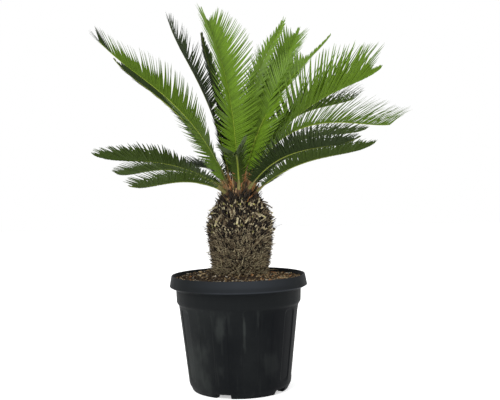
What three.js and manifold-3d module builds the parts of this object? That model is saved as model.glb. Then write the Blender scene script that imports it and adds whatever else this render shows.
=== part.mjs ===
// Sago palm (Cycas revoluta) in its black nursery pot: pot, soil, trunk, crown base and
// fronds. Millimetres, +Z up. The origin is the centre of the pot's flat underside, +X is
// the plant's right side and -Y its front.

import * as THREE from "three";
import { mergeVertices } from "three/addons/utils/BufferGeometryUtils.js";
import Module from "manifold-3d";

const CLEARANCE = 0.3; // between pieces that touch each other

// Pot: a tapered, fluted body under a plain collar and a turned-down lip.
const POT = {
  segments: 48,
  wall: 3,
  hubRadius: 22,
  footInnerRadius: 103,
  footRadius: 117,
  baseRise: 7,
  floorHeight: 12,
  heelRadius: 125.4,
  heelHeight: 16,
  bodyTopRadius: 147.4,
  bodyTopHeight: 208,
  collarRadius: 152.6,
  collarHeight: 214.5,
  collarTopRadius: 153.8,
  collarTopHeight: 246,
  lipRadius: 169.5,
  lipHeight: 254,
  rimRadius: 164.5,
  rimHeight: 280.5,
  fluteDepth: 1.6,
  fluteMargin: 6,
  fluteRows: 4,
  fluteShift: 3, // segments by which the flutes are turned
  segmentsPerFlute: 4,
  drainHoles: 5,
  drainAzimuth: 251,
  drainWidth: 36,
  drainHeight: 9,
};

// Soil: potting mix with a level seat under the trunk and a rough top.
const SOIL = { height: 266, seatRadius: 78, moundHeight: 8, roughness: 2.5, segments: 32 };

// Trunk: an egg form of old leaf bases, cut flat at the soil and at the neck.
const TRUNK = {
  centreX: 5.5,
  lean: 0.015,
  widestRadius: 80,
  widestHeight: 385,
  upperHalf: 105,
  lowerHalf: 175,
  neckHeight: 467,
  scalesAround: 16,
  scaleRows: 14,
  scaleRise: 7,
  scaleTilt: 5,
  scaleVariation: 0.3,
};

// Crown base: the low dome that carries the fronds, with pointed bud scales on it.
const HEAD = {
  radius: 50,
  height: 26,
  segments: 20,
  rings: 5,
  budScales: 30,
  budScaleRadius: 4.5,
  budScaleHeight: 46,
  budScaleShortening: 0.35,
  budScaleUprightness: 80,
};

// Fronds: what they all share.
const FROND = {
  footRadius: 14,
  footSpread: 32,
  sunkFoot: 6,
  petioleShare: 0.17,
  petioleSteps: 3,
  rollShare: 0.4,
  leafletPairs: 23,
  footHalfWidth: 3.6,
  footHalfHeight: 3.2,
  ribHalfWidth: 2.6,
  ribHalfHeight: 1.7,
  tipHalfWidth: 0.9,
  tipHalfHeight: 0.7,
  leafletTipHalfThickness: 0.5,
  leafletV: 42,
  leafletVAtFoot: 8.4,
  fullVAt: 0.45,
  leafletAngleAtFoot: 76,
  leafletAngleAtTip: 34,
  tipLift: 22,
  tipLiftPower: 8,
  leafletShareAtFoot: 0.2,
  leafletSkew: 1.2,
  leafletFullness: 0.5,
  leafletClearance: 3.4,
  leafletShortening: 0.85,
  shortestLeaflet: 16,
};

// Each frond: azimuth of its foot and its turn along the blade, rise of its foot above
// level, bend downwards, roll about its rib (degrees), length, longest leaflet (mm) and
// ring, from 0 beside the bud to 1 at the edge of the crown base.
const FRONDS = [
  { azimuth: 108, turn: 1, rise: 90, bend: 59, roll: 18, length: 550, leaflet: 125, ring: 0.1 },
  { azimuth: 58, turn: -40, rise: 72, bend: 43, roll: 0, length: 490, leaflet: 88, ring: 0.05 },
  { azimuth: 206, turn: 4, rise: 71, bend: 46, roll: 15, length: 470, leaflet: 105, ring: 0.5 },
  { azimuth: 22, turn: -12, rise: 74, bend: 61, roll: 24, length: 475, leaflet: 140, ring: 0.45 },
  { azimuth: 148, turn: 0, rise: 84, bend: 33, roll: 0, length: 465, leaflet: 95, ring: 0.35 },
  { azimuth: 82, turn: -30, rise: 88, bend: 54, roll: 30, length: 530, leaflet: 72, ring: 0.35 },
  { azimuth: 212, turn: 1, rise: 40, bend: 43, roll: 0, length: 345, leaflet: 72, ring: 0.8 },
  { azimuth: 321, turn: -6, rise: 42, bend: 40, roll: 0, length: 356, leaflet: 72, ring: 1 },
  { azimuth: 231, turn: 8, rise: 28, bend: 40, roll: 0, length: 345, leaflet: 66, ring: 1 },
  { azimuth: 297, turn: 7, rise: 37, bend: 40, roll: 0, length: 460, leaflet: 75, ring: 0.8 },
  { azimuth: 355, turn: 0, rise: 88, bend: 108, roll: 0, length: 420, leaflet: 115, ring: 0.6 },
  { azimuth: 265, turn: 0, rise: 78, bend: 92, roll: 0, length: 280, leaflet: 60, ring: 0.9 },
  { azimuth: 172, turn: -6, rise: 73, bend: 41, roll: 50, length: 445, leaflet: 72, ring: 0.75 },
  { azimuth: 38, turn: -12, rise: 79, bend: 82, roll: 0, length: 435, leaflet: 90, ring: 0.4 },
  { azimuth: 40, turn: -13, rise: 67, bend: 71, roll: 0, length: 415, leaflet: 75, ring: 0.85 },
  { azimuth: 67, turn: -10, rise: 77, bend: 43, roll: 16, length: 535, leaflet: 100, ring: 0.55 },
  { azimuth: 111, turn: 0, rise: 70, bend: 20, roll: 0, length: 450, leaflet: 80, ring: 0.45 },
  { azimuth: 147, turn: -12, rise: 38, bend: 49, roll: 0, length: 400, leaflet: 66, ring: 0.95 },
  { azimuth: 108, turn: 4, rise: 42, bend: 46, roll: 0, length: 360, leaflet: 70, ring: 0.9 },
  { azimuth: 74, turn: 0, rise: 60, bend: 60, roll: 0, length: 455, leaflet: 85, ring: 0.85 },
  { azimuth: 60, turn: 4, rise: 46, bend: 50, roll: 0, length: 425, leaflet: 75, ring: 1 },
  { azimuth: 96, turn: -2, rise: 72, bend: 70, roll: 0, length: 450, leaflet: 85, ring: 0.65 },
  { azimuth: 90, turn: 6, rise: 34, bend: 42, roll: 0, length: 425, leaflet: 75, ring: 1 },
  { azimuth: 128, turn: 0, rise: 33, bend: 44, roll: 0, length: 410, leaflet: 70, ring: 0.85 },
];

const wasm = await Module();
wasm.setup();

// ---- Geometry helpers

/** A closed triangle mesh from flat lists of coordinates and vertex numbers. */
function meshGeometry(positions, faces) {
  const geometry = new THREE.BufferGeometry();
  geometry.setAttribute("position", new THREE.Float32BufferAttribute(positions, 3));
  geometry.setIndex(faces);
  return geometry;
}

function toManifold(geometry) {
  const bare = geometry.clone();
  bare.deleteAttribute("normal");
  bare.deleteAttribute("uv");
  const merged = mergeVertices(bare, 1e-4);
  return new wasm.Manifold(
    new wasm.Mesh({
      numProp: 3,
      vertProperties: new Float32Array(merged.attributes.position.array),
      triVerts: new Uint32Array(merged.index.array),
    }),
  );
}

function toGeometry(manifold) {
  const { vertProperties, triVerts } = manifold.getMesh();
  return meshGeometry(Array.from(vertProperties), Array.from(triVerts));
}

/** A solid of revolution about +Z from [radius, height] points. */
function turned(profile, segments) {
  const points = profile.map(([radius, height]) => new THREE.Vector2(radius, height));
  return new THREE.LatheGeometry(points, segments).rotateX(Math.PI / 2);
}

/** Joins neighbouring rings of equal vertex counts; ring a lies below ring b. */
function stitchRings(faces, a, b, count) {
  for (let i = 0; i < count; i += 1) {
    const next = (i + 1) % count;
    faces.push(a + i, a + next, b + next, a + i, b + next, b + i);
  }
}

/** A repeatable value from -1 to 1 for a whole number. */
function scatter(n) {
  const wave = Math.sin(n * 127.1 + 11.7) * 43758.5453;
  return 2 * (wave - Math.floor(wave)) - 1;
}

const radians = THREE.MathUtils.degToRad;
const mix = THREE.MathUtils.lerp;

// ---- Pot

/** Radius of the body's outside at a height between the heel and the collar. */
function potBodyRadius(height) {
  const share = (height - POT.heelHeight) / (POT.bodyTopHeight - POT.heelHeight);
  return mix(POT.heelRadius, POT.bodyTopRadius, share);
}

/** Presses a shallow hollow into every second panel of the pot's body. */
function pressFlutes(geometry) {
  const { position } = geometry.attributes;
  const low = POT.heelHeight + POT.fluteMargin - 1;
  const high = POT.bodyTopHeight - POT.fluteMargin + 1;
  for (let i = 0; i < position.count; i += 1) {
    const [x, y, z] = [position.getX(i), position.getY(i), position.getZ(i)];
    const radius = Math.hypot(x, y);
    if (z > low && z < high && radius > potBodyRadius(z) - 1) {
      const step = Math.round((Math.atan2(y, x) / (2 * Math.PI)) * POT.segments);
      const place = (step + POT.fluteShift + POT.segments) % POT.segmentsPerFlute;
      if (place >= POT.segmentsPerFlute / 2) {
        const scale = (radius - POT.fluteDepth) / radius;
        position.setXY(i, x * scale, y * scale);
      }
    }
  }
  return geometry;
}

/** A block that cuts one drain slot through the foot ring. */
function drainSlot(index) {
  const start = POT.footInnerRadius - 2;
  const end = POT.heelRadius + 2;
  const block = new THREE.BoxGeometry(end - start, POT.drainWidth, 2 * POT.drainHeight);
  block.translate((start + end) / 2, 0, 0);
  return block.rotateZ(radians(POT.drainAzimuth + (360 / POT.drainHoles) * index));
}

function potGeometry() {
  const { wall } = POT;
  const body = [];
  const [bodyLow, bodyHigh] = [POT.heelHeight + POT.fluteMargin, POT.bodyTopHeight - POT.fluteMargin];
  for (let row = 0; row <= POT.fluteRows; row += 1) {
    const height = mix(bodyLow, bodyHigh, row / POT.fluteRows);
    body.push([potBodyRadius(height), height]);
  }
  const shell = turned(
    [
      [0, 0],
      [POT.hubRadius, 0],
      [POT.hubRadius + 2, POT.baseRise],
      [POT.footInnerRadius - 2, POT.baseRise],
      [POT.footInnerRadius, 0],
      [POT.footRadius, 0],
      [POT.heelRadius, POT.heelHeight],
      ...body,
      [POT.bodyTopRadius, POT.bodyTopHeight],
      [POT.collarRadius, POT.collarHeight],
      [POT.collarTopRadius, POT.collarTopHeight],
      [POT.lipRadius, POT.lipHeight],
      [POT.rimRadius, POT.rimHeight],
      [POT.rimRadius - wall, POT.rimHeight],
      [POT.collarTopRadius - wall, POT.collarTopHeight],
      [POT.bodyTopRadius - wall, POT.bodyTopHeight],
      [POT.heelRadius - 2 * wall, POT.heelHeight],
      [POT.footRadius - 2 * wall, POT.floorHeight],
      [0, POT.floorHeight],
    ],
    POT.segments,
  );
  let pot = toManifold(pressFlutes(shell));
  for (let index = 0; index < POT.drainHoles; index += 1) {
    pot = pot.subtract(toManifold(drainSlot(index)));
  }
  return toGeometry(pot);
}

// ---- Soil

/** Radius of the pot's inside at a height, less the clearance. */
function soilRadius(height) {
  const stations = [
    [POT.floorHeight, POT.footRadius - 2 * POT.wall],
    [POT.heelHeight, POT.heelRadius - 2 * POT.wall],
    [POT.bodyTopHeight, POT.bodyTopRadius - POT.wall],
    [POT.collarTopHeight, POT.collarTopRadius - POT.wall],
    [POT.rimHeight, POT.rimRadius - POT.wall],
  ];
  const upper = stations.findIndex(([level]) => level >= height);
  const [lowLevel, lowRadius] = stations[Math.max(upper - 1, 0)];
  const [highLevel, highRadius] = stations[upper];
  const share = upper ? (height - lowLevel) / (highLevel - lowLevel) : 0;
  return mix(lowRadius, highRadius, share) - 2 * CLEARANCE;
}

/** Height of the soil's top: level under the trunk, mounded round it, then falling away. */
function soilTop(radius, seed) {
  if (radius <= SOIL.seatRadius) {
    return SOIL.height;
  }
  const share = (radius - SOIL.seatRadius) / (soilRadius(SOIL.height) - SOIL.seatRadius);
  const mound = SOIL.moundHeight * Math.sin(Math.PI * share) ** 2;
  const rough = share < 1 ? SOIL.roughness * scatter(seed) : 0;
  return SOIL.height + mound + rough;
}

function soilGeometry() {
  const positions = [0, 0, POT.floorHeight + CLEARANCE];
  const faces = [];
  const sideLevels = [
    POT.floorHeight + CLEARANCE,
    POT.heelHeight,
    POT.bodyTopHeight,
    POT.collarTopHeight,
    SOIL.height,
  ];
  const rings = sideLevels.map((level) => [soilRadius(level), level]);
  const edge = soilRadius(SOIL.height);
  for (const share of [0.82, 0.6, 0.38, 0.18, 0]) {
    rings.push([mix(SOIL.seatRadius, edge, share), null]);
  }
  rings.forEach(([radius, level], ring) => {
    for (let i = 0; i < SOIL.segments; i += 1) {
      const angle = (2 * Math.PI * i) / SOIL.segments;
      const height = level ?? soilTop(radius, ring * SOIL.segments + i);
      positions.push(radius * Math.cos(angle), radius * Math.sin(angle), height);
    }
    if (ring > 0) {
      stitchRings(faces, 1 + (ring - 1) * SOIL.segments, 1 + ring * SOIL.segments, SOIL.segments);
    }
  });
  const last = 1 + (rings.length - 1) * SOIL.segments;
  const centre = positions.length / 3;
  positions.push(0, 0, SOIL.height);
  for (let i = 0; i < SOIL.segments; i += 1) {
    const next = (i + 1) % SOIL.segments;
    faces.push(0, 1 + next, 1 + i);
    faces.push(centre, last + i, last + next);
  }
  return meshGeometry(positions, faces);
}

// ---- Trunk

/** Radius of the egg form at a height. */
function trunkRadius(height) {
  const rise = height - TRUNK.widestHeight;
  const half = rise > 0 ? TRUNK.upperHalf : TRUNK.lowerHalf;
  return TRUNK.widestRadius * Math.sqrt(1 - (rise / half) ** 2);
}

/** Where the trunk's leaning middle line stands at a height. */
function trunkCentreX(height) {
  return TRUNK.centreX + TRUNK.lean * (height - SOIL.height);
}

/**
 * Lozenge scales round the egg form: rings of corners, each ring turned by half a scale
 * against the last, and a raised peak inside each lozenge.
 */
function trunkGeometry() {
  const foot = SOIL.height + CLEARANCE;
  const { scalesAround: around, scaleRows: rows } = TRUNK;
  const positions = [];
  const faces = [];
  const level = (ring) => mix(foot, TRUNK.neckHeight, ring / rows);
  const place = (height, angle, proud) => {
    const radius = trunkRadius(height) + proud;
    positions.push(trunkCentreX(height) + radius * Math.cos(angle), radius * Math.sin(angle), height);
  };
  for (let ring = 0; ring <= rows; ring += 1) {
    for (let i = 0; i < around; i += 1) {
      place(level(ring), (2 * Math.PI * (i + (ring % 2) / 2)) / around, 0);
    }
  }
  const corner = (ring, i) => ring * around + ((i + around) % around);
  for (let ring = 1; ring < rows; ring += 1) {
    const shift = ring % 2;
    for (let i = 0; i < around; i += 1) {
      const peak = positions.length / 3;
      const angle = (2 * Math.PI * (i + 0.5 + shift / 2)) / around;
      const height = level(ring) + TRUNK.scaleTilt;
      const rise = TRUNK.scaleRise * (1 + TRUNK.scaleVariation * scatter(peak));
      place(Math.min(height, TRUNK.neckHeight), angle, rise);
      const [left, right] = [corner(ring, i), corner(ring, i + 1)];
      const below = corner(ring - 1, i + shift);
      const above = corner(ring + 1, i + shift);
      faces.push(below, right, peak, right, above, peak);
      faces.push(above, left, peak, left, below, peak);
    }
  }
  for (let i = 0; i < around; i += 1) {
    faces.push(corner(0, i), corner(0, i + 1), corner(1, i));
    const shift = (rows - 1) % 2;
    faces.push(corner(rows, i + 1), corner(rows, i), corner(rows - 1, i + 1 - shift));
  }
  const [bottom, top] = [positions.length / 3, positions.length / 3 + 1];
  positions.push(trunkCentreX(foot), 0, foot);
  positions.push(trunkCentreX(TRUNK.neckHeight), 0, TRUNK.neckHeight);
  for (let i = 0; i < around; i += 1) {
    faces.push(bottom, corner(0, i + 1), corner(0, i));
    faces.push(top, corner(rows, i), corner(rows, i + 1));
  }
  return meshGeometry(positions, faces);
}

// ---- Crown base

const headFoot = TRUNK.neckHeight + CLEARANCE;
const headX = trunkCentreX(headFoot);

/** Height of the dome's surface at a distance from its middle line. */
function headHeight(radius) {
  return headFoot + HEAD.height * Math.sqrt(1 - (radius / HEAD.radius) ** 2);
}

/** The bare dome, grown outwards by a margin on every side. */
function headDome(margin) {
  const profile = [[0, headFoot - margin]];
  for (let ring = 0; ring <= HEAD.rings; ring += 1) {
    const angle = ((Math.PI / 2) * ring) / HEAD.rings;
    const radius = (HEAD.radius + margin) * Math.cos(angle);
    profile.push([ring < HEAD.rings ? radius : 0, headFoot + (HEAD.height + margin) * Math.sin(angle)]);
  }
  if (margin > 0) {
    profile.splice(1, 0, [HEAD.radius + margin, headFoot - margin]);
  }
  return turned(profile, HEAD.segments).translate(headX, 0, 0);
}

/** Bud scales: pointed cones, closest round the middle, that clear every frond's foot. */
function budScales(petioles) {
  const goldenAngle = Math.PI * (3 - Math.sqrt(5));
  const cones = [];
  for (let i = 0; i < HEAD.budScales; i += 1) {
    const share = Math.sqrt(i / HEAD.budScales);
    const radius = (HEAD.radius - HEAD.budScaleRadius) * share;
    const angle = i * goldenAngle;
    const height = HEAD.budScaleHeight * (1 - HEAD.budScaleShortening * share);
    const foot = new THREE.Vector3(Math.cos(angle) * radius, Math.sin(angle) * radius, 0);
    const lean = new THREE.Vector3(foot.x, foot.y, HEAD.budScaleUprightness).normalize();
    foot.add(new THREE.Vector3(headX, 0, headHeight(radius) - HEAD.budScaleRadius));
    const line = new THREE.Line3(foot, foot.clone().addScaledVector(lean, height));
    const reach = HEAD.budScaleRadius + FROND.footHalfWidth + 1;
    if (petioles.every((petiole) => petiole.distanceSqToLine3(line) > reach ** 2)) {
      const cone = new THREE.ConeGeometry(HEAD.budScaleRadius, height, 4);
      cone.translate(0, height / 2, 0);
      cone.applyQuaternion(new THREE.Quaternion().setFromUnitVectors(THREE.Object3D.DEFAULT_UP, lean));
      cones.push(cone.translate(foot.x, foot.y, foot.z));
    }
  }
  return cones;
}

function headGeometry(petioles) {
  let head = toManifold(headDome(0));
  for (const cone of budScales(petioles)) {
    head = head.add(toManifold(cone));
  }
  return toGeometry(head);
}

// ---- Fronds

/** Share of the longest leaflet at u, from 0 at the first leaflets to 1 at the tip. */
function leafletShare(u) {
  const swell = Math.sin(Math.PI * u ** FROND.leafletSkew) ** FROND.leafletFullness;
  return mix(FROND.leafletShareAtFoot, 1, swell);
}

/** Stations along a frond's rib: place, tangent, upper side, right side and half sizes. */
function frondStations(frond) {
  const azimuth = radians(frond.azimuth);
  const footRadius = FROND.footRadius + FROND.footSpread * frond.ring;
  const foot = new THREE.Vector3(
    headX + footRadius * Math.cos(azimuth),
    footRadius * Math.sin(azimuth),
    headHeight(footRadius),
  );
  const shares = [];
  for (let i = 0; i < FROND.petioleSteps; i += 1) {
    shares.push((FROND.petioleShare * i) / FROND.petioleSteps);
  }
  for (let i = 0; i <= FROND.leafletPairs; i += 1) {
    shares.push(mix(FROND.petioleShare, 1, i / FROND.leafletPairs));
  }
  const direction = (share) => {
    const bend = frond.bend * (1 - (1 - share) ** (1 + frond.ring));
    const rise = radians(frond.rise - bend + FROND.tipLift * share ** FROND.tipLiftPower);
    const heading = azimuth + radians(frond.turn) * share;
    return { rise, heading };
  };
  const point = foot.clone();
  let reached = 0;
  return shares.map((share) => {
    const middle = direction((reached + share) / 2);
    const step = (share - reached) * frond.length;
    point.x += step * Math.cos(middle.rise) * Math.cos(middle.heading);
    point.y += step * Math.cos(middle.rise) * Math.sin(middle.heading);
    point.z += step * Math.sin(middle.rise);
    reached = share;
    const { rise, heading } = direction(share);
    const tangent = new THREE.Vector3(
      Math.cos(rise) * Math.cos(heading),
      Math.cos(rise) * Math.sin(heading),
      Math.sin(rise),
    );
    const upright = new THREE.Vector3(
      -Math.sin(rise) * Math.cos(heading),
      -Math.sin(rise) * Math.sin(heading),
      Math.cos(rise),
    );
    const rolled = THREE.MathUtils.smoothstep(share, 0, FROND.rollShare);
    const up = upright.applyAxisAngle(tangent, radians(frond.roll) * rolled);
    const right = new THREE.Vector3().crossVectors(tangent, up);
    const along = (share - FROND.petioleShare) / (1 - FROND.petioleShare);
    const size = (atFoot, atBlade, atTip) =>
      along < 0 ? mix(atFoot, atBlade, share / FROND.petioleShare) : mix(atBlade, atTip, along);
    return {
      share,
      along,
      point: point.clone(),
      tangent,
      up,
      right,
      halfWidth: size(FROND.footHalfWidth, FROND.ribHalfWidth, FROND.tipHalfWidth),
      halfHeight: size(FROND.footHalfHeight, FROND.ribHalfHeight, FROND.tipHalfHeight),
    };
  });
}

/** The full-length leaflet between two stations: its root's middle and its direction. */
function leafletAt(frond, from, to, side) {
  const u = (from.along + to.along) / 2;
  const angle = radians(mix(FROND.leafletAngleAtFoot, FROND.leafletAngleAtTip, u));
  const opened = THREE.MathUtils.smoothstep(u, 0, FROND.fullVAt);
  const fold = radians(mix(FROND.leafletVAtFoot, FROND.leafletV, opened));
  const root = from.point.clone().add(to.point).multiplyScalar(0.5);
  root.addScaledVector(from.right, side * from.halfWidth);
  const direction = from.tangent.clone().multiplyScalar(Math.cos(angle));
  direction.addScaledVector(from.right, side * Math.sin(angle) * Math.cos(fold));
  direction.addScaledVector(from.up, Math.sin(angle) * Math.sin(fold));
  const normal = new THREE.Vector3().crossVectors(direction, from.tangent).multiplyScalar(side);
  return { root, direction, normal: normal.normalize(), length: frond.leaflet * leafletShare(u) };
}

/** The flat middle of a leaflet, as a triangle from its root edge to its tip. */
function leafletTriangle(leaflet, from, to, side, length) {
  const rootA = from.point.clone().addScaledVector(from.right, side * from.halfWidth);
  const rootB = to.point.clone().addScaledVector(to.right, side * to.halfWidth);
  const tip = leaflet.root.clone().addScaledVector(leaflet.direction, length);
  return new THREE.Triangle(rootA, rootB, tip);
}

function edgesOf({ a, b, c }) {
  return [new THREE.Line3(a, b), new THREE.Line3(b, c), new THREE.Line3(c, a)];
}

/** Distance from a line segment to a triangle; 0 where they cross. */
function lineToTriangle(line, triangle) {
  const span = line.delta(new THREE.Vector3());
  const ray = new THREE.Ray(line.start, span.clone().normalize());
  const { a, b, c } = triangle;
  const hit = ray.intersectTriangle(a, b, c, false, new THREE.Vector3());
  if (hit && hit.distanceTo(line.start) <= span.length()) {
    return 0;
  }
  const toEdges = edgesOf(triangle).map((edge) => Math.sqrt(edge.distanceSqToLine3(line)));
  const toFace = [line.start, line.end].map((end) =>
    triangle.closestPointToPoint(end, new THREE.Vector3()).distanceTo(end),
  );
  return Math.min(...toEdges, ...toFace);
}

function triangleGap(one, other) {
  return Math.min(
    ...edgesOf(one).map((edge) => lineToTriangle(edge, other)),
    ...edgesOf(other).map((edge) => lineToTriangle(edge, one)),
  );
}

function ballRound(points) {
  return new THREE.Box3().setFromPoints(points).getBoundingSphere(new THREE.Sphere());
}

/** Whether a leaflet's triangle clears every rib and leaflet of the other fronds. */
function clears(triangle, number, ribs, leaflets) {
  const ball = ballRound([triangle.a, triangle.b, triangle.c]);
  const near = (other) =>
    other.number !== number &&
    other.ball.center.distanceTo(ball.center) <
      other.ball.radius + ball.radius + 3 * FROND.leafletClearance;
  return (
    ribs.every(
      (rib) => !near(rib) || lineToTriangle(rib.line, triangle) > rib.radius + FROND.leafletClearance,
    ) &&
    leaflets.every((leaf) => !near(leaf) || triangleGap(leaf.triangle, triangle) > FROND.leafletClearance)
  );
}

/** Ribs of all fronds as line segments with a radius. */
function ribSegments(allStations) {
  return allStations.flatMap((stations, number) =>
    stations.slice(1).map((station, i) => {
      const line = new THREE.Line3(stations[i].point, station.point);
      const radius = Math.hypot(stations[i].halfWidth, stations[i].halfHeight);
      return { number, line, radius, ball: ballRound([line.start, line.end]) };
    }),
  );
}

/** Length of each leaflet, shortened until it clears the others; 0 where none fits. */
function leafletLengths(allStations) {
  const ribs = ribSegments(allStations);
  const leaflets = [];
  return allStations.map((stations, number) => {
    const lengths = new Map();
    for (let i = FROND.petioleSteps; i < stations.length - 1; i += 1) {
      for (const side of [-1, 1]) {
        const [from, to] = [stations[i], stations[i + 1]];
        const leaflet = leafletAt(FRONDS[number], from, to, side);
        let { length } = leaflet;
        let triangle = leafletTriangle(leaflet, from, to, side, length);
        while (length >= FROND.shortestLeaflet && !clears(triangle, number, ribs, leaflets)) {
          length *= FROND.leafletShortening;
          triangle = leafletTriangle(leaflet, from, to, side, length);
        }
        const kept = length >= FROND.shortestLeaflet;
        lengths.set(`${i}:${side}`, kept ? length : 0);
        if (kept) {
          leaflets.push({ number, triangle, ball: ballRound([triangle.a, triangle.b, triangle.c]) });
        }
      }
    }
    return lengths;
  });
}

/** A blade cut to the rib between its leaflets: a four-sided rib with a wedge per leaflet. */
function frondGeometry(frond, stations, lengths) {
  const positions = [];
  const faces = [];
  const addVertex = (v) => positions.push(v.x, v.y, v.z) / 3 - 1;
  const quad = (a, b, c, d) => faces.push(a, b, c, a, c, d);
  const first = stations[0];
  const sunk = { ...first, point: first.point.clone().addScaledVector(first.tangent, -FROND.sunkFoot) };
  const sections = [sunk, ...stations];
  for (const { point, right, up, halfWidth, halfHeight } of sections) {
    for (const [side, level] of [[-1, 1], [1, 1], [1, -1], [-1, -1]]) {
      const corner = point.clone().addScaledVector(right, side * halfWidth);
      addVertex(corner.addScaledVector(up, level * halfHeight));
    }
  }
  quad(0, 3, 2, 1);
  const end = 4 * (sections.length - 1);
  quad(end, end + 1, end + 2, end + 3);
  for (let i = 0; i < sections.length - 1; i += 1) {
    const [a, b] = [4 * i, 4 * i + 4];
    quad(a, a + 1, b + 1, b);
    quad(a + 3, b + 3, b + 2, a + 2);
    for (const side of [-1, 1]) {
      const length = lengths.get(`${i - 1}:${side}`) ?? 0;
      const [upperA, lowerA] = side > 0 ? [a + 1, a + 2] : [a, a + 3];
      const [upperB, lowerB] = side > 0 ? [b + 1, b + 2] : [b, b + 3];
      if (length === 0) {
        if (side > 0) quad(upperA, lowerA, lowerB, upperB);
        else quad(upperA, upperB, lowerB, lowerA);
        continue;
      }
      const leaflet = leafletAt(frond, sections[i], sections[i + 1], side);
      const tip = leaflet.root.clone().addScaledVector(leaflet.direction, length);
      const half = FROND.leafletTipHalfThickness;
      const over = addVertex(tip.clone().addScaledVector(leaflet.normal, half));
      const under = addVertex(tip.clone().addScaledVector(leaflet.normal, -half));
      if (side > 0) {
        faces.push(upperA, over, upperB, lowerA, lowerB, under);
        quad(upperA, lowerA, under, over);
        quad(upperB, over, under, lowerB);
      } else {
        faces.push(upperA, upperB, over, lowerA, under, lowerB);
        quad(upperA, over, under, lowerA);
        quad(upperB, lowerB, under, over);
      }
    }
  }
  const seat = toManifold(headDome(CLEARANCE));
  return toGeometry(toManifold(meshGeometry(positions, faces)).subtract(seat));
}

// ---- Materials and assembly

function finish(name, color, roughness) {
  return new THREE.MeshStandardMaterial({ name, color, roughness, metalness: 0 });
}

const materials = {
  pot: finish("pot_plastic", 0x26282b, 0.62),
  soil: finish("potting_soil", 0x4a3526, 0.95),
  trunk: finish("trunk_scales", 0x4b3f33, 0.9),
  head: finish("bud_felt", 0x8a5a34, 0.9),
  frond: finish("frond_green", 0x4d7426, 0.5),
};

function piece(name, geometry, material) {
  const mesh = new THREE.Mesh(geometry, material);
  mesh.name = name;
  return mesh;
}

const allStations = FRONDS.map(frondStations);
const allLengths = leafletLengths(allStations);
const petioles = allStations.map(
  (stations) => new THREE.Line3(stations[0].point, stations[FROND.petioleSteps].point),
);

const sagoPalm = new THREE.Group();
sagoPalm.add(
  piece("pot", potGeometry(), materials.pot),
  piece("soil", soilGeometry(), materials.soil),
  piece("trunk", trunkGeometry(), materials.trunk),
  piece("crown_base", headGeometry(petioles), materials.head),
);
FRONDS.forEach((frond, number) => {
  const name = `frond_${String(number + 1).padStart(2, "0")}`;
  const geometry = frondGeometry(frond, allStations[number], allLengths[number]);
  sagoPalm.add(piece(name, geometry, materials.frond));
});

export default sagoPalm;
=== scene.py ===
"""Sago palm in a black nursery pot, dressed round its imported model.

Metres, +Z up. The origin is the centre of the pot's flat underside, +X is the plant's right
side and -Y its front. Each group of like pieces is made by one operator, from the sizes and
colours in its settings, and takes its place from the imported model.
"""

from typing import NamedTuple

import bpy
import numpy as np
from bpy.props import FloatProperty, FloatVectorProperty, IntProperty, PointerProperty
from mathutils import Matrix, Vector, noise


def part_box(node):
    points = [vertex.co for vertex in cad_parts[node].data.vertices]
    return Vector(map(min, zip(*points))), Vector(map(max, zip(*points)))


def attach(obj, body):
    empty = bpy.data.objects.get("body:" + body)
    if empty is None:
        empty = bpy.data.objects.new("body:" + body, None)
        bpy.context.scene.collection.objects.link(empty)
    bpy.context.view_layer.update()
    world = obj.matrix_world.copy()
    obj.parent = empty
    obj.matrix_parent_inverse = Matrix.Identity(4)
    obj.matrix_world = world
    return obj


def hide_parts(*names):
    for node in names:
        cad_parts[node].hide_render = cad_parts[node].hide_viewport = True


bl_info = {
    "name": "Potted sago palm",
    "version": (1, 0, 0),
    "blender": (4, 5, 0),
    "location": "3D View > Sidebar > Sago Palm",
    "description": "Makes a sago palm in its nursery pot, with soil, trunk, crown and fronds",
    "category": "Object",
}

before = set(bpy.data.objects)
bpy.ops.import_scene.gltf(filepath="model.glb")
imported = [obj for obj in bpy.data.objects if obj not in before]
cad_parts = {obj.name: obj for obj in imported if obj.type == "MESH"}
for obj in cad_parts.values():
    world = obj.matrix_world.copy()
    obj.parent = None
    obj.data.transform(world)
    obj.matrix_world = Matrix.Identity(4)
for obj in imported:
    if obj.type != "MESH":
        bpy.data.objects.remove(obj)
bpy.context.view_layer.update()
BODY = "root"
GOLDEN_ANGLE = np.pi * (3 - np.sqrt(5))
UP = np.array([0.0, 0.0, 1.0])


# ---- Small maths


def unit(vectors):
    """The vectors at length 1."""
    return vectors / np.linalg.norm(vectors, axis=-1, keepdims=True)


def mix(low, high, share):
    """A value that goes from low to high as the share goes from 0 to 1."""
    return low + (high - low) * share


def smoothstep(value, low, high):
    """Goes smoothly from 0 to 1 as the value goes from low to high."""
    share = np.clip((value - low) / (high - low), 0, 1)
    return share * share * (3 - 2 * share)


def noise_at(points, scale):
    """Smooth noise from about -1 to 1 at each point of an (n, 3) array."""
    return np.array([noise.noise(Vector(point) * scale) for point in points])


def circle_points(angles):
    """Directions in the level plane at the given angles."""
    return np.stack((np.cos(angles), np.sin(angles), np.zeros_like(angles)), axis=-1)


def even_angles(count):
    """Angles spread evenly round a full turn."""
    return np.linspace(0, 2 * np.pi, count, endpoint=False)


def bent_lines(roots, along, lengths, shares, bend):
    """Lines of given lengths from each root, with a point at each share of the length. They
    start out along their ways and swing to the side by the bend at the end."""
    centres = roots[:, None] + along[:, None] * (shares * lengths[:, None])[..., None]
    return centres + bend[:, None] * (shares**2)[None, :, None]


def dealt(draw, limits):
    """Paint numbers by draw: 0 below the first limit, 1 below the second, and so on."""
    return sum(draw >= limit for limit in limits)


# ---- Meshes of many like pieces


def add_object(name, data):
    """A new object in the scene."""
    made = bpy.data.objects.new(name, data)
    bpy.context.scene.collection.objects.link(made)
    return made


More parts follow.
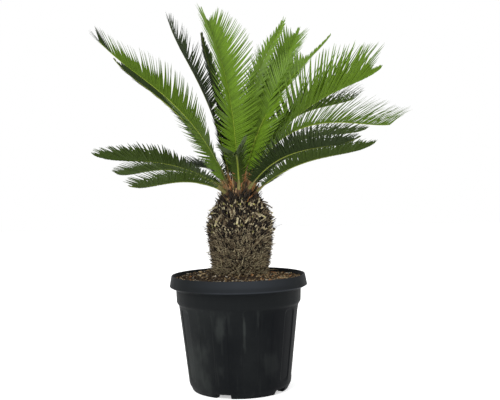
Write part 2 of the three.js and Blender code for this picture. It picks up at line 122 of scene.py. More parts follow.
class Bundle:
    """Gathers pieces of one kind into a single mesh, with a paint number for each face."""

    def __init__(self):
        self.corners = []
        self.faces = []
        self.paints = []
        self.count = 0

    def add(self, corners, paint):
        """Adds closed tubes: corners are (pieces, stations, sides, 3), and paint fits the
        walls between stations. A flat face closes each end, in the paint beside it."""
        pieces, stations, sides, _ = corners.shape
        first = self.count + np.arange(pieces)[:, None] * stations * sides
        last = first + (stations - 1) * sides
        near = first[:, :, None] + np.arange(stations - 1)[:, None] * sides
        corner = np.arange(sides)
        following = (corner + 1) % sides
        walls = (near + corner, near + following, near + sides + following, near + sides + corner)
        paints = np.broadcast_to(paint, (pieces, stations - 1, sides))
        self.faces += [np.stack(walls, axis=-1), first + corner[::-1], last + corner]
        self.paints += [paints.ravel(), paints[:, 0, 0], paints[:, -1, 0]]
        self.corners.append(corners.reshape(-1, 3))
        self.count += pieces * stations * sides

    def sweep(self, centres, upward, half_widths, half_heights, section, paint):
        """Adds closed pieces whose outline is swept along their centre lines.

        centres and upward are (pieces, stations, 3), the half sizes are (pieces, stations),
        and section holds the outline's corners as shares of the half sizes, anticlockwise as
        seen from the far end. paint fits (pieces, stations - 1, corners).
        """
        section = np.array(section)
        along = unit(np.gradient(centres, axis=1))
        across = unit(np.cross(np.broadcast_to(upward, centres.shape), along))
        upward = np.cross(along, across)
        spread = (half_widths[..., None] * section[:, 0])[..., None] * across[:, :, None]
        lift = (half_heights[..., None] * section[:, 1])[..., None] * upward[:, :, None]
        self.add(centres[:, :, None] + spread + lift, paint)

    def lathe(self, radii, heights, angles, centre_x=0.0, paint=0):
        """Adds a closed form turned about an upright line. radii and heights fit
        (rows, angles), and flat faces close the first and last rows."""
        corners = circle_points(angles) * radii[..., None]
        corners[..., 2] = heights
        corners[..., 0] += centre_x
        self.add(corners[None], paint)

    def build(self, name, materials, replaced=(), smooth=False):
        """Makes the mesh object, gives it its materials and seats it in the model."""
        sizes = np.concatenate([
            np.full(paint.size, faces.shape[-1]) for faces, paint in zip(self.faces, self.paints)
        ])
        mesh = bpy.data.meshes.new(name)
        mesh.vertices.add(self.count)
        mesh.vertices.foreach_set("co", np.concatenate(self.corners).astype(np.float32).ravel())
        mesh.loops.add(int(sizes.sum()))
        loops = np.concatenate([faces.ravel() for faces in self.faces])
        mesh.loops.foreach_set("vertex_index", loops.astype(np.int32))
        mesh.polygons.add(len(sizes))
        starts = np.concatenate(([0], np.cumsum(sizes)[:-1]))
        mesh.polygons.foreach_set("loop_start", starts.astype(np.int32))
        paints = np.concatenate(self.paints)
        mesh.polygons.foreach_set("material_index", paints.astype(np.int32))
        mesh.polygons.foreach_set("use_smooth", np.full(len(sizes), smooth))
        for material in materials:
            mesh.materials.append(material)
        mesh.update(calc_edges=True)
        mesh.validate()
        piece = add_object(name, mesh)
        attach(piece, BODY)
        if replaced:
            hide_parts(*replaced)


# ---- Shader maths

PATCH_STOPS = ((0.3, 0.0), (0.7, 1.0))
BUMP_FINENESS = 3
BUMP_STRENGTH = 0.5


class Value:
    """A shader socket on which Python's operators add Math nodes."""

    def __init__(self, shader, socket):
        self.shader = shader
        self.socket = socket

    def joined(self, operation, *terms):
        """A Math node on the given terms."""
        settings = {"operation": operation}
        return self.shader.node("ShaderNodeMath", settings, dict(enumerate(terms)))["Value"]

    def __add__(self, other):
        return self.joined("ADD", self, other)

    def __radd__(self, other):
        return self.joined("ADD", other, self)

    def __sub__(self, other):
        return self.joined("SUBTRACT", self, other)

    def __rsub__(self, other):
        return self.joined("SUBTRACT", other, self)

    def __mul__(self, other):
        return self.joined("MULTIPLY", self, other)

    def __rmul__(self, other):
        return self.joined("MULTIPLY", other, self)


class Shader:
    """One material's node tree."""

    def __init__(self, name):
        self.material = bpy.data.materials.new(name)
        self.material.use_nodes = True
        self.tree = self.material.node_tree
        self.tree.nodes.clear()

    def node(self, kind, settings=None, inputs=None):
        """Adds a node, its settings first, then its sockets' values or links. A socket is
        named by its label or its number; the outputs in use come back by label."""
        node = self.tree.nodes.new(kind)
        for key, value in (settings or {}).items():
            if key == "stops":
                self.set_stops(node.color_ramp, value)
            else:
                setattr(node, key, value)
        for key, value in (inputs or {}).items():
            if isinstance(key, int):
                socket = node.inputs[key]
            else:
                socket = next(s for s in node.inputs if s.enabled and s.name == key)
            if isinstance(value, Value):
                self.tree.links.new(value.socket, socket)
            else:
                socket.default_value = value
        return {s.name: Value(self, s) for s in node.outputs if s.enabled}

    @staticmethod
    def set_stops(ramp, stops):
        """Gives a colour ramp its (place, level) stops."""
        while len(ramp.elements) < len(stops):
            ramp.elements.new(1)
        for element, (position, level) in zip(ramp.elements, stops):
            element.position = position
            element.color = (level, level, level, 1)

    def noise(self, scale, detail=3.0, vector=None):
        """Noise from 0 to 1 over the piece's own coordinates."""
        vector = vector or self.node("ShaderNodeTexCoord")["Object"]
        inputs = {"Vector": vector, "Scale": scale, "Detail": detail}
        return self.node("ShaderNodeTexNoise", {"noise_dimensions": "3D"}, inputs)["Fac"]

    def ramp(self, value, *stops):
        """A value carried through (place, level) stops."""
        return self.node("ShaderNodeValToRGB", {"stops": stops}, {"Fac": value})["Color"]

    def stretched(self, scale):
        """The piece's own coordinates, scaled along each axis."""
        vector = self.node("ShaderNodeTexCoord")["Object"]
        settings = {"operation": "MULTIPLY"}
        return self.node("ShaderNodeVectorMath", settings, {0: vector, 1: scale})["Vector"]

    def distance(self, middle, reach):
        """Distance from a place in the piece's own coordinates, as a share of a reach."""
        shares = tuple(1 / size for size in reach)
        place = tuple(-m * share for m, share in zip(middle, shares))
        inputs = {0: self.stretched(shares), 1: place}
        offset = self.node("ShaderNodeVectorMath", {"operation": "ADD"}, inputs)["Vector"]
        return self.node("ShaderNodeVectorMath", {"operation": "LENGTH"}, {0: offset})["Value"]

    def blend(self, share, low, high):
        """A colour between two colours."""
        low, high = (c if isinstance(c, Value) else (*c[:3], 1.0) for c in (low, high))
        inputs = {"Factor": share, "A": low, "B": high}
        return self.node("ShaderNodeMix", {"data_type": "RGBA"}, inputs)["Result"]

    def bump(self, height, strength, distance):
        """A normal raised by a height, as far as the distance in metres."""
        inputs = {"Height": height, "Strength": strength, "Distance": distance}
        return self.node("ShaderNodeBump", None, inputs)["Normal"]

    def finish(self, **inputs):
        """Ends the tree in a Principled shader; sockets are named with _ for a space."""
        named = {key.replace("_", " "): value for key, value in inputs.items()}
        shader = self.node("ShaderNodeBsdfPrincipled", None, named)["BSDF"]
        self.node("ShaderNodeOutputMaterial", None, {"Surface": shader})
        return self.material


def shade(colour, factor):
    """A colour made lighter or darker."""
    return tuple(min(channel * factor, 1.0) for channel in colour[:3])


def mottled(name, colour, roughness, contrast=0.25, scale=140.0, bump=0.0004, gloss=0.15):
    """A natural surface: two close shades of one colour in fine patches, with a finer bump."""
    shader = Shader(name)
    patches = shader.ramp(shader.noise(scale), *PATCH_STOPS)
    base = shader.blend(patches, shade(colour, 1 - contrast), shade(colour, 1 + contrast))
    normal = shader.bump(shader.noise(scale * BUMP_FINENESS), BUMP_STRENGTH, bump)
    return shader.finish(
        Base_Color=base, Roughness=roughness, Specular_IOR_Level=gloss, Normal=normal
    )


def tinted(prefix, settings, looks):
    """A mottled material for each tint in the settings, from its roughness, contrast, scale
    and bump. Its place among the looks is its paint number."""
    return [
        mottled(f"{prefix}_{tint}", getattr(settings, tint), *look)
        for tint, look in looks.items()
    ]


# ---- Settings


def length_property(name, description, default):
    """A setting in metres."""
    return FloatProperty(name=name, description=description, default=default, unit="LENGTH")


def colour_property(name, description, default):
    """A setting shown as a colour."""
    return FloatVectorProperty(
        name=name, description=description, default=default, subtype="COLOR", min=0, max=1
    )


class PotSettings(bpy.types.PropertyGroup):
    """Sizes and colours of the nursery pot."""

    wall: length_property("Wall", "Thickness of the moulded wall", 0.003)
    panels: IntProperty(name="Panels", description="Pressed panels round the body", default=12)
    panel_depth: length_property("Panel depth", "Depth of each pressed panel", 0.0018)
    edge: length_property("Edge", "Rounding of the lip's edges", 0.0016)
    colour: colour_property("Plastic", "Colour of the plastic", (0.0031, 0.0037, 0.0047))
    dust: colour_property("Dust", "Colour of the dust on the plastic", (0.034, 0.038, 0.036))
    # The sky's reflection, painted as a pale bluish sheen on the lip.
    sheen: colour_property("Lip", "Colour of the painted sheen where the lip is palest", (0.03, 0.034, 0.0405))


class SoilSettings(bpy.types.PropertyGroup):
    """Sizes and colours of the potting mix."""

    chips: IntProperty(name="Chips", description="Number of bark chips", default=3400)
    chip_length: length_property("Chip length", "Half length of a large chip", 0.0052)
    dark: colour_property("Humus", "Colour of the dark mix", (0.03, 0.02, 0.012))
    brown: colour_property("Bark", "Colour of the brown chips", (0.135, 0.092, 0.046))
    orange: colour_property("Fresh bark", "Colour of the freshest chips", (0.3, 0.14, 0.055))
    tan: colour_property("Coir", "Colour of the coir and dry chips", (0.36, 0.27, 0.15))
    grey: colour_property("Grit", "Colour of the grit", (0.34, 0.31, 0.25))


class TrunkSettings(bpy.types.PropertyGroup):
    """Sizes and colours of the trunk."""

    stubs: IntProperty(name="Leaf bases", description="Leaf bases on the upper part", default=1700)
    stub_length: length_property("Base length", "Length of a leaf base", 0.021)
    stalks: IntProperty(name="Cut stalks", description="Stalks of fronds cut off", default=48)
    straw: IntProperty(name="Straw", description="Worn ends on the lower part", default=5200)
    straw_length: length_property("Straw length", "Length of a worn end", 0.015)
    fibres: IntProperty(name="Fibres", description="Number of loose fibres", default=2600)
    fibre_length: length_property("Fibre length", "Length of a long fibre", 0.024)
    hollows: colour_property("Hollows", "Colour between the leaf bases", (0.009, 0.007, 0.006))
    dark: colour_property("Dark base", "Colour of the darkest bases", (0.02, 0.016, 0.014))
    brown: colour_property("Brown base", "Colour of the weathered bases", (0.11, 0.08, 0.048))
    tan: colour_property("Dry base", "Colour of the dry bases", (0.29, 0.235, 0.15))
    cream: colour_property("Cut face", "Colour of the cut faces", (0.46, 0.4, 0.25))
    yellow: colour_property("Fresh cut", "Colour of the freshest cuts", (0.34, 0.32, 0.1))


class CrownSettings(bpy.types.PropertyGroup):
    """Sizes and colours of the bud between the fronds' feet."""

    scales: IntProperty(name="Bud scales", description="Number of bud scales", default=170)
    scale_length: length_property("Scale length", "Length of a bud scale", 0.046)
    rust: colour_property("Rust", "Colour of the bud scales", (0.36, 0.16, 0.06))
    tan: colour_property("Felt", "Colour of the paler felt", (0.3, 0.19, 0.1))
    collar: IntProperty(name="Collar", description="Leaf bases round the bud", default=640)
    collar_length: length_property("Collar length", "Length of those leaf bases", 0.018)
    olive: colour_property("Olive", "Colour of the greener leaf bases", (0.15, 0.13, 0.05))
    umber: colour_property("Umber", "Colour of the old bud scales", (0.085, 0.05, 0.026))
    hollows: colour_property("Hollows", "Colour between the leaf bases", (0.012, 0.009, 0.007))
    # Near-black of the outer leaf bases round the trunk's top: painted shade under the crown.
    worn: colour_property("Worn", "Colour of the worn leaf bases", (0.026, 0.021, 0.016))


class FrondSettings(bpy.types.PropertyGroup):
    """Sizes and colours of the fronds."""

    pitch: length_property("Leaflet pitch", "Distance between leaflets on one side", 0.0049)
    half_width: length_property("Half width", "Half the width of a leaflet", 0.0026)
    # The tones are partly the fronds' age and partly painted light: lighter for the sunlit upper
    # fronds, darker as painted shade for the low and hidden ones.
    bright: colour_property("Bright", "Colour of the young fronds, painted lighter as if sunlit", (0.1, 0.181, 0.0095))
    fresh: colour_property("Fresh", "Colour of the full-grown fronds, painted lighter as if sunlit", (0.1, 0.188, 0.008))
    green: colour_property("Green", "Colour of the older fronds", (0.074, 0.133, 0.008))
    deep: colour_property("Deep", "Colour of the shaded fronds", (0.034, 0.058, 0.0065))
    dark: colour_property("Dark", "Colour of the oldest fronds, painted darker as shade", (0.0152, 0.0272, 0.0045))
    rib: colour_property("Rib", "Colour of the ribs", (0.36, 0.42, 0.05))
    petiole: colour_property("Petiole", "Colour of the fronds' feet", (0.15, 0.135, 0.045))


class StageSettings(bpy.types.PropertyGroup):
    """The camera, the floor and the lights."""

    floor_size: length_property("Floor size", "Side of the floor", 14.0)
    floor: colour_property("Floor", "Colour of the floor", (0.9, 0.9, 0.9))
    glow: FloatProperty(name="Floor glow", description="Light given by the floor", default=0.45)
    sky: FloatProperty(name="Soft light", description="Light from all round", default=1.0)
    key: FloatProperty(name="Key light", description="Main light in watts", default=55.0)
    fill: FloatProperty(name="Fill light", description="Second light in watts", default=14.0)


class SagoPalmSettings(bpy.types.PropertyGroup):
    """All settings of the potted sago palm."""

    pot: PointerProperty(type=PotSettings)
    soil: PointerProperty(type=SoilSettings)
    trunk: PointerProperty(type=TrunkSettings)
    crown: PointerProperty(type=CrownSettings)
    frond: PointerProperty(type=FrondSettings)
    stage: PointerProperty(type=StageSettings)


# ---- Pot

POT_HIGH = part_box("pot")[1]
HUB_RADIUS = 0.022
FOOT_INNER_RADIUS = 0.103
FOOT_RADIUS = 0.117
BASE_RISE = 0.007
FLOOR_HEIGHT = 0.012
HEEL = (0.1254, 0.016)
BODY_TOP = (0.1474, 0.208)
COLLAR = (0.1526, 0.2145)
COLLAR_TOP = (0.1538, 0.246)
LIP = (POT_HIGH.x, 0.254)
RIM = (0.1645, POT_HIGH.z)
BASE_SLOPE = 0.002
BODY_STEP = 0.003
PANEL_PHASE = np.radians(266.9)
PANEL_LOW = 0.03
PANEL_HIGH = 0.203
PANEL_CORNER = 0.011
PANEL_EDGE = 0.0034
PANEL_OFFSETS = np.radians([-1.6, -1.1, -0.7, -0.35, 0, 0.35, 0.7, 1.1, 1.6, 3.5, 5.6])
LEAST_STEP = np.radians(0.12)
DRAIN_HOLES = 5
DRAIN_AZIMUTH = np.radians(251)
DRAIN_HALF_WIDTH = 0.018
DRAIN_FLANKS = np.array([-1.03, -0.97, 0.97, 1.03])
DRAIN_HEIGHT = 0.009
POLE_RADIUS = 0.0005
# What a place is multiplied by, across and up, before it is read from a ramp.
RAMP_ACROSS = 3.4
RAMP_UP = 3
DUST_RIPPLE = 2.6
DUST_EVERYWHERE = 0.04
DUST_CLOUDS = 0.16
DUST_SCUFFS = 0.14
DUST_SPECKS = 0.15
DUST_LEFT = 0.18
DUST_ROUGHNESS = 0.25
GRAIN_DEPTH = 0.0006
# Middle and reach of the pool of painted light on the front of the lip.
LIP_LIGHT = ((0.02, -0.17, 0.27), (0.15, 0.14, 0.1))
# Middle, reach and strength of each dusty mark.
DUST_MARKS = [
    ((0.0135, -0.14, 0.17), (0.0042, 0.1, 0.05), 0.45),
    ((0.0455, -0.13, 0.182), (0.0042, 0.1, 0.035), 0.28),
    ((-0.041, -0.13, 0.172), (0.017, 0.1, 0.045), 0.36),
    ((0.076, -0.11, 0.08), (0.02, 0.1, 0.045), 0.14),
    ((-0.1, -0.06, 0.068), (0.055, 0.15, 0.07), 0.3),
]


def rounded(corners, steps=5):
    """A line through (radius, height, rounding) corners, each rounded by its own size."""
    points = [np.array(corner[:2]) for corner in corners]
    line = [points[0]]
    for before, here, after, corner in zip(points, points[1:], points[2:], corners[1:]):
        rounding = corner[2]
        if rounding == 0:
            line.append(here)
            continue
        start = here + unit(before - here) * min(rounding, np.linalg.norm(before - here) / 2)
        end = here + unit(after - here) * min(rounding, np.linalg.norm(after - here) / 2)
        for share in np.linspace(0, 1, steps):
            line.append(mix(mix(start, here, share), mix(here, end, share), share))
    line.append(points[-1])
    return np.array(line)


def divided(line, low, high, step):
    """The line with more points where its height lies between two levels."""
    points = [line[0]]
    for start, end in zip(line, line[1:]):
        count = 1
        if min(start[1], end[1]) >= low and max(start[1], end[1]) <= high:
            count = max(1, round(abs(end[1] - start[1]) / step))
        points.extend(mix(start, end, (i + 1) / count) for i in range(count))
    return np.array(points)


def pot_outside(edge):
    """The pot's profile from the middle of its underside up to the rim's outer edge."""
    corners = [
        (POLE_RADIUS, 0, 0),
        (HUB_RADIUS, 0, edge / 2),
        (HUB_RADIUS + BASE_SLOPE, BASE_RISE, edge / 2),
        (FOOT_INNER_RADIUS - BASE_SLOPE, BASE_RISE, edge / 2),
        (FOOT_INNER_RADIUS, 0, edge / 2),
        (FOOT_RADIUS, 0, edge),
        (*HEEL, 3 * edge),
        (*BODY_TOP, 2 * edge),
        (*COLLAR, 2 * edge),
        (*COLLAR_TOP, edge / 2),
        (LIP[0] - edge, LIP[1] - edge / 2, edge / 2),
        (*LIP, edge),
        (LIP[0] - edge / 2, LIP[1] + 2.5 * edge, edge),
        (*RIM, edge),
        (RIM[0] - edge, RIM[1], 0),
    ]
    return divided(rounded(corners), HEEL[1], BODY_TOP[1], BODY_STEP)


def pot_inside(edge, wall):
    """The pot's profile from the rim's inner edge down to the middle of its floor."""
    corners = [
        (RIM[0] - edge, RIM[1], 0),
        (RIM[0] - wall, RIM[1], edge),
        (COLLAR_TOP[0] - wall, COLLAR_TOP[1], 2 * edge),
        (BODY_TOP[0] - wall, BODY_TOP[1], edge),
        (HEEL[0] - 2 * wall, HEEL[1], edge),
        (FOOT_RADIUS - 2 * wall, FLOOR_HEIGHT, edge / 2),
        (POLE_RADIUS, FLOOR_HEIGHT, 0),
    ]
    return rounded(corners)[1:]


def panel_angles(panels):
    """Angles round the pot, close together where panels and drain slots have edges."""
    turn = 2 * np.pi / panels
    edges = PANEL_PHASE + turn / 4 + np.arange(2 * panels) * turn / 2
    fine = (edges[:, None] + PANEL_OFFSETS).ravel()
    slot_half = np.arcsin(DRAIN_HALF_WIDTH / FOOT_RADIUS)
    slots = DRAIN_AZIMUTH + even_angles(DRAIN_HOLES)
    slot_edges = slots[:, None] + slot_half * DRAIN_FLANKS
    angles = np.sort(np.concatenate((fine, slot_edges.ravel())) % (2 * np.pi))
    return angles[np.diff(angles, append=angles[0] + 2 * np.pi) > LEAST_STEP]


def panel_press(angles, radii, heights, panels):
    """How far each point lies in a pressed panel, from 0 outside to 1 on its floor."""
    turn = 2 * np.pi / panels
    swing = (angles - PANEL_PHASE + turn / 2) % turn - turn / 2
    half_width = radii * turn / 4
    half_height = (PANEL_HIGH - PANEL_LOW) / 2
    across = np.abs(swing * radii) - half_width + PANEL_CORNER
    along = np.abs(heights - (PANEL_HIGH + PANEL_LOW) / 2) - half_height + PANEL_CORNER
    outside = np.hypot(np.maximum(across, 0), np.maximum(along, 0))
    distance = outside + np.minimum(np.maximum(across, along), 0) - PANEL_CORNER
    return smoothstep(-distance, -PANEL_EDGE / 2, PANEL_EDGE / 2)


def drain_lift(angles):
    """Height of each drain slot's top at the given angles, 0 between the slots."""
    turn = 2 * np.pi / DRAIN_HOLES
    swing = (angles - DRAIN_AZIMUTH + turn / 2) % turn - turn / 2
    slot_half = np.arcsin(DRAIN_HALF_WIDTH / FOOT_RADIUS)
    return np.where(np.abs(swing) <= slot_half, DRAIN_HEIGHT, 0.0)


def make_pot(settings):
    """The pot in one closed form, with pressed panels outside and drain slots in its foot."""
    outside = pot_outside(settings.edge)
    inside = pot_inside(settings.edge, settings.wall)
    angles = panel_angles(settings.panels)
    profile = np.vstack((outside, inside))
    radii = np.repeat(profile[:, :1], len(angles), axis=1)
    heights = np.repeat(profile[:, 1:], len(angles), axis=1)
    rows = slice(0, len(outside))
    press = panel_press(angles, radii[rows], heights[rows], settings.panels)
    on_body = heights[rows] > HEEL[1]
    radii[rows] -= settings.panel_depth * press * on_body
    foot = radii > FOOT_INNER_RADIUS - POLE_RADIUS
    foot[len(outside):] = False
    heights = np.where(foot, np.maximum(heights, drain_lift(angles)), heights)
    pot = Bundle()
    pot.lathe(radii, heights, angles)
    pot.build("nursery_pot", [pot_plastic(settings)], ["pot"], smooth=True)


def pot_plastic(settings):
    """Charcoal plastic with fine grain, dusty marks and faint upright scuffs, painted shade on the
    collar under the lip, and a painted sheen and highlight line on the lip.
    """
    shader = Shader("pot_plastic")
    clouds = shader.ramp(shader.noise(9.0, 4.0), (0.42, 0.0), (0.78, 1.0))
    streaks = shader.noise(1.0, 2.0, shader.stretched((90.0, 90.0, 7.0)))
    scuffs = shader.ramp(streaks, (0.58, 0.0), (0.72, 1.0))
    specks = shader.ramp(shader.noise(420.0, 1.0), (0.72, 0.0), (0.76, 1.0))
    place = shader.node("ShaderNodeTexCoord")["Object"]
    axes = shader.node("ShaderNodeSeparateXYZ", None, {"Vector": place})
    leftward = 0.5 - axes["X"] * RAMP_ACROSS
    left = shader.ramp(leftward, (0.55, 0.0), (1.0, 1.0))
    middle_and_left = shader.ramp(leftward, (0.2, 0.25), (0.42, 1.0))
    dust = DUST_EVERYWHERE + clouds * DUST_CLOUDS + scuffs * DUST_SCUFFS
    dust = dust * middle_and_left + left * DUST_LEFT
    ripple = shader.noise(30.0, 4.0, shader.stretched((1.6, 1.0, 0.7))) - 0.5
    for middle, reach, strength in DUST_MARKS:
        away = shader.distance(middle, reach) + ripple * DUST_RIPPLE
        dust = dust + shader.ramp(away, (0.3, strength), (1.0, 0.0))
    height = axes["Z"] * RAMP_UP
    # From the collar up, the dust and scuffs give way to one flat low level, so the collar stays
    # dark: painted shade under the lip.
    below = shader.ramp(height, (0.628, 1.0), (0.642, 0.12))
    collar = shader.ramp(height, (0.63, 0.0), (0.642, 0.12))
    dust = dust * below + collar + specks * DUST_SPECKS
    base = shader.blend(dust, settings.colour, settings.dust)
    # Painted sheen on the lip: a pool of painted light on its front, growing towards its top, and
    # a painted highlight line along its lower edge that fades out to the left.
    lip_light_pool = shader.ramp(shader.distance(*LIP_LIGHT), (0.15, 1.0), (1.0, 0.12))
    lip = shader.ramp(height, (0.75, 0.0), (0.756, 0.3), (0.785, 0.34), (0.8, 0.55), (0.82, 0.6))
    line = shader.ramp(height, (0.7545, 0.0), (0.757, 1.0), (0.763, 1.0), (0.7665, 0.0))
    lit = shader.ramp(0.5 + axes["X"] * RAMP_ACROSS, (0.15, 0.0), (0.35, 0.55))
    base = shader.blend(lip_light_pool * lip + lit * line, base, settings.sheen)
    roughness = 0.5 + dust * DUST_ROUGHNESS
    grain = shader.noise(900.0, 2.0) + shader.noise(60.0, 2.0) * 1.5
    normal = shader.bump(grain, 0.25, GRAIN_DEPTH)
    return shader.finish(
        Base_Color=base, Roughness=roughness, Specular_IOR_Level=0.038, Normal=normal
    )


# ---- Soil

SOIL_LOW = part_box("soil")[0]
SOIL_LEVEL = 0.2702
SOIL_EDGE = 0.1565
SOIL_EDGE_DEPTH = 0.006
SOIL_COLUMNS = 180
SOIL_ROWS = 44
SOIL_FOOT_GAP = 0.008
SOIL_WALL_GAP = 0.004
SEAT_RADIUS = 0.056
MOUND_RISE = 0.012
MOUND_RADIUS = 0.125
HEAP = Vector((-0.085, 0.05))
HEAP_RISE = 0.009
HEAP_RADIUS = 0.075
# Height and fineness of the mix's lumps.
LUMPS = ((0.0022, 42), (0.0012, 130))
SOIL_SEED = 11
CHIPS_FROM = 0.05
CHIPS_TO = SOIL_EDGE - 0.001
CHIP_LIFTS = (-0.0008, 0.0018)
CHIP_SIZES = (0.16, 1.5)
CHIP_SIZE_SPREAD = (-0.75, 0.5)
CHIP_SLOPE = (1, 1, 0.35)
CHIP_TILT = (0.45, 0.45, 0)
CHIP_BEND = 0.16
CHIP_STATIONS = np.array([-1.0, -0.25, 0.35, 1.0])
CHIP_TAPER = np.array([0.6, 1, 1, 0.55])
CHIP_RAGGED = (0.35, 1.0)
CHIP_WIDTH = 0.55
CHIP_THICKNESS = (0.25, 0.7)
CHIP_OUTLINE = [(1, 0.1), (0.35, 1), (-0.6, 0.8), (-1, -0.3), (0.1, -1)]
CHIP_LOOKS = dict.fromkeys(("dark", "brown", "orange", "tan", "grey"), (0.85, 0.25, 500.0))
# From where to where the shares below change from the left side's to the right side's. The
# left side's larger share of dark chips is painted shade.
CHIP_SIDES = (-0.1, 0.12)
CHIP_SHARES = ((0.54, 0.22), (0.25, 0.34), (0.035, 0.13), (0.11, 0.26))
STOUT_CHIP = (0.035, -0.0575)
STOUT_CHIP_HALF_WIDTH = 0.0045
STOUT_CHIP_HALF_HEIGHT = 0.0038


def soil_height(places):
    """Height of the potting mix: heaped against the trunk's left and back, lower in front."""
    from_middle = np.linalg.norm(places[:, :2], axis=1)
    from_heap = np.linalg.norm(places[:, :2] - np.array(HEAP), axis=1)
    mound = MOUND_RISE * (1 - smoothstep(from_middle, SEAT_RADIUS, MOUND_RADIUS))
    mound += HEAP_RISE * (1 - smoothstep(from_heap, 0, HEAP_RADIUS))
    return SOIL_LEVEL + mound + sum(size * noise_at(places, scale) for size, scale in LUMPS)


def make_soil(settings):
    """The bed of potting mix, closed below the pot's wall, and the chips on it."""
    random = np.random.default_rng(SOIL_SEED)
    angles = even_angles(SOIL_COLUMNS)
    open_rings = np.linspace(SOIL_EDGE, SEAT_RADIUS, SOIL_ROWS)
    rings = np.append(open_rings, (SEAT_RADIUS / 2, POLE_RADIUS))
    places = (circle_points(angles) * rings[:, None, None]).reshape(-1, 3)
    top = soil_height(places).reshape(len(rings), len(angles))
    hidden = np.array([
        (POLE_RADIUS, SOIL_LOW.z),
        (FOOT_RADIUS - SOIL_FOOT_GAP, SOIL_LOW.z),
        (HEEL[0] - SOIL_FOOT_GAP, HEEL[1]),
        (BODY_TOP[0] - SOIL_WALL_GAP, BODY_TOP[1]),
        (COLLAR_TOP[0] - SOIL_WALL_GAP, COLLAR_TOP[1]),
        (SOIL_EDGE, SOIL_LEVEL - SOIL_EDGE_DEPTH),
    ])
    radii = np.append(hidden[:, 0], rings)[:, None]
    heights = np.vstack((np.repeat(hidden[:, 1:], len(angles), axis=1), top))
    bed = Bundle()
    bed.lathe(radii, heights, angles)
    humus = mottled("humus", settings.dark, 0.95, contrast=0.5, scale=260.0, bump=0.002)
    bed.build("soil_bed", [humus], ["soil"], smooth=True)
    chips = Bundle()
    add_chips(chips, random, settings)
    chips.build("bark_chips", tinted("chip", settings, CHIP_LOOKS))


def add_chips(chips, random, settings):
    """Bark chips strewn over the mix, with one stout, fresh chip in front of the trunk."""
    count = settings.chips
    reach = np.sqrt(random.uniform(CHIPS_FROM**2, CHIPS_TO**2, count))
    middle = circle_points(random.uniform(0, 2 * np.pi, count)) * reach[:, None]
    middle[:, 2] = soil_height(middle) + random.uniform(*CHIP_LIFTS, count)
    size = np.clip(random.lognormal(*CHIP_SIZE_SPREAD, count), *CHIP_SIZES)
    size = settings.chip_length * size
    along = unit(random.normal(size=(count, 3)) * CHIP_SLOPE)
    upward = unit(random.normal(size=(count, 3)) * CHIP_TILT + UP)
    bend = random.normal(size=(count, 1, 3)) * CHIP_BEND * size[:, None, None]
    stations = CHIP_STATIONS[None, :, None]
    centres = middle[:, None] + along[:, None] * (stations * size[:, None, None])
    centres = centres + bend * (1 - stations**2)
    taper = random.uniform(*CHIP_RAGGED, (count, len(CHIP_TAPER))) * CHIP_TAPER
    half_widths = CHIP_WIDTH * size[:, None] * taper
    half_heights = half_widths * random.uniform(*CHIP_THICKNESS, (count, 1))
    paint = chip_paints(random, middle)
    stout = np.argmin(np.linalg.norm(middle[:, :2] - np.array(STOUT_CHIP), axis=1))
    paint[stout] = list(CHIP_LOOKS).index("orange")
    half_widths[stout] = STOUT_CHIP_HALF_WIDTH
    half_heights[stout] = STOUT_CHIP_HALF_HEIGHT
    paint = paint[:, None, None]
    chips.sweep(centres, upward[:, None], half_widths, half_heights, CHIP_OUTLINE, paint)


def chip_paints(random, middle):
    """Deals colours to the chips: browner and brighter to the right, darker to the left, where
    the extra dark chips are painted shade. Each colour but the last has a share at either side."""
    side = smoothstep(middle[:, 0], *CHIP_SIDES)
    limits = np.cumsum([mix(*shares, side) for shares in CHIP_SHARES], axis=0)
    return dealt(random.uniform(0, 1, len(middle)), limits)


# ---- Stubs


class StubKind(NamedTuple):
    """What the stubs of one kind have in common. profile holds their half widths in metres
    from root to tip. widths, curls and lengths are the lowest and highest shares that are
    drawn: of the profile, of the length as a curl of the tip, and of the length itself. lean
    says in degrees how unevenly they rise, sway how unevenly they point to the sides."""

    profile: tuple
    widths: tuple
    curls: tuple
    lengths: tuple = (1.0, 1.0)
    lean: float = 0.0
    sway: float = 0.0
    outline: tuple = ((1, 0), (0.55, 0.75), (-0.55, 0.75), (-1, 0), (-0.5, -0.8), (0.5, -0.8))


LEAF_BASE = StubKind((0.0042, 0.0037, 0.0027, 0.0021, 0.0017, 0.0007), widths=(0.6, 1.1),
                     curls=(-0.1, 0.3), lengths=(0.7, 1.2), lean=11, sway=0.3)
CUT_STALK = StubKind((0.0034, 0.0033, 0.0031, 0.0029, 0.0028, 0.0012), widths=(0.7, 1.15),
                     curls=(0.1, 0.6), lengths=(0.6, 1.0), lean=14, sway=0.35)
WORN_END = StubKind((0.0019, 0.0018, 0.0015, 0.0010, 0.0003), widths=(0.45, 1.15),
                    curls=(-0.2, 0.35), lengths=(0.6, 1.25), lean=16, sway=0.6,
                    outline=((1, -0.2), (0, 1), (-1, -0.2), (0, -0.7)))
COLLAR_BASE = StubKind((0.0034, 0.0027, 0.0021, 0.0015, 0.0005), widths=(0.5, 1.05),
                       curls=(0, 0.25), sway=0.25)
STUB_TIP = 1.02
STUB_WANDER = 0.07
STUB_FLATNESS = (0.4, 0.75)


def stub_ways(random, kind, leans, out, up, around):
    """Ways that stubs point, leaning so many degrees from up towards out."""
    leans = np.radians(leans + random.normal(0, kind.lean, len(out)))[:, None]
    sway = random.normal(0, kind.sway, (len(out), 1))
    return unit(out * np.sin(leans) + up * np.cos(leans) + around * sway)


def stub_widths(random, kind, count):
    """Half widths at each station of each stub."""
    return np.array(kind.profile) * random.uniform(*kind.widths, (count, 1))


def with_ends(kind, body, end, rows):
    """Paints along each stub: the body's, then the end's on its last rows of faces."""
    place = np.arange(len(kind.profile) - 1)
    return np.where(place < len(place) - rows, body[:, None], end[:, None])


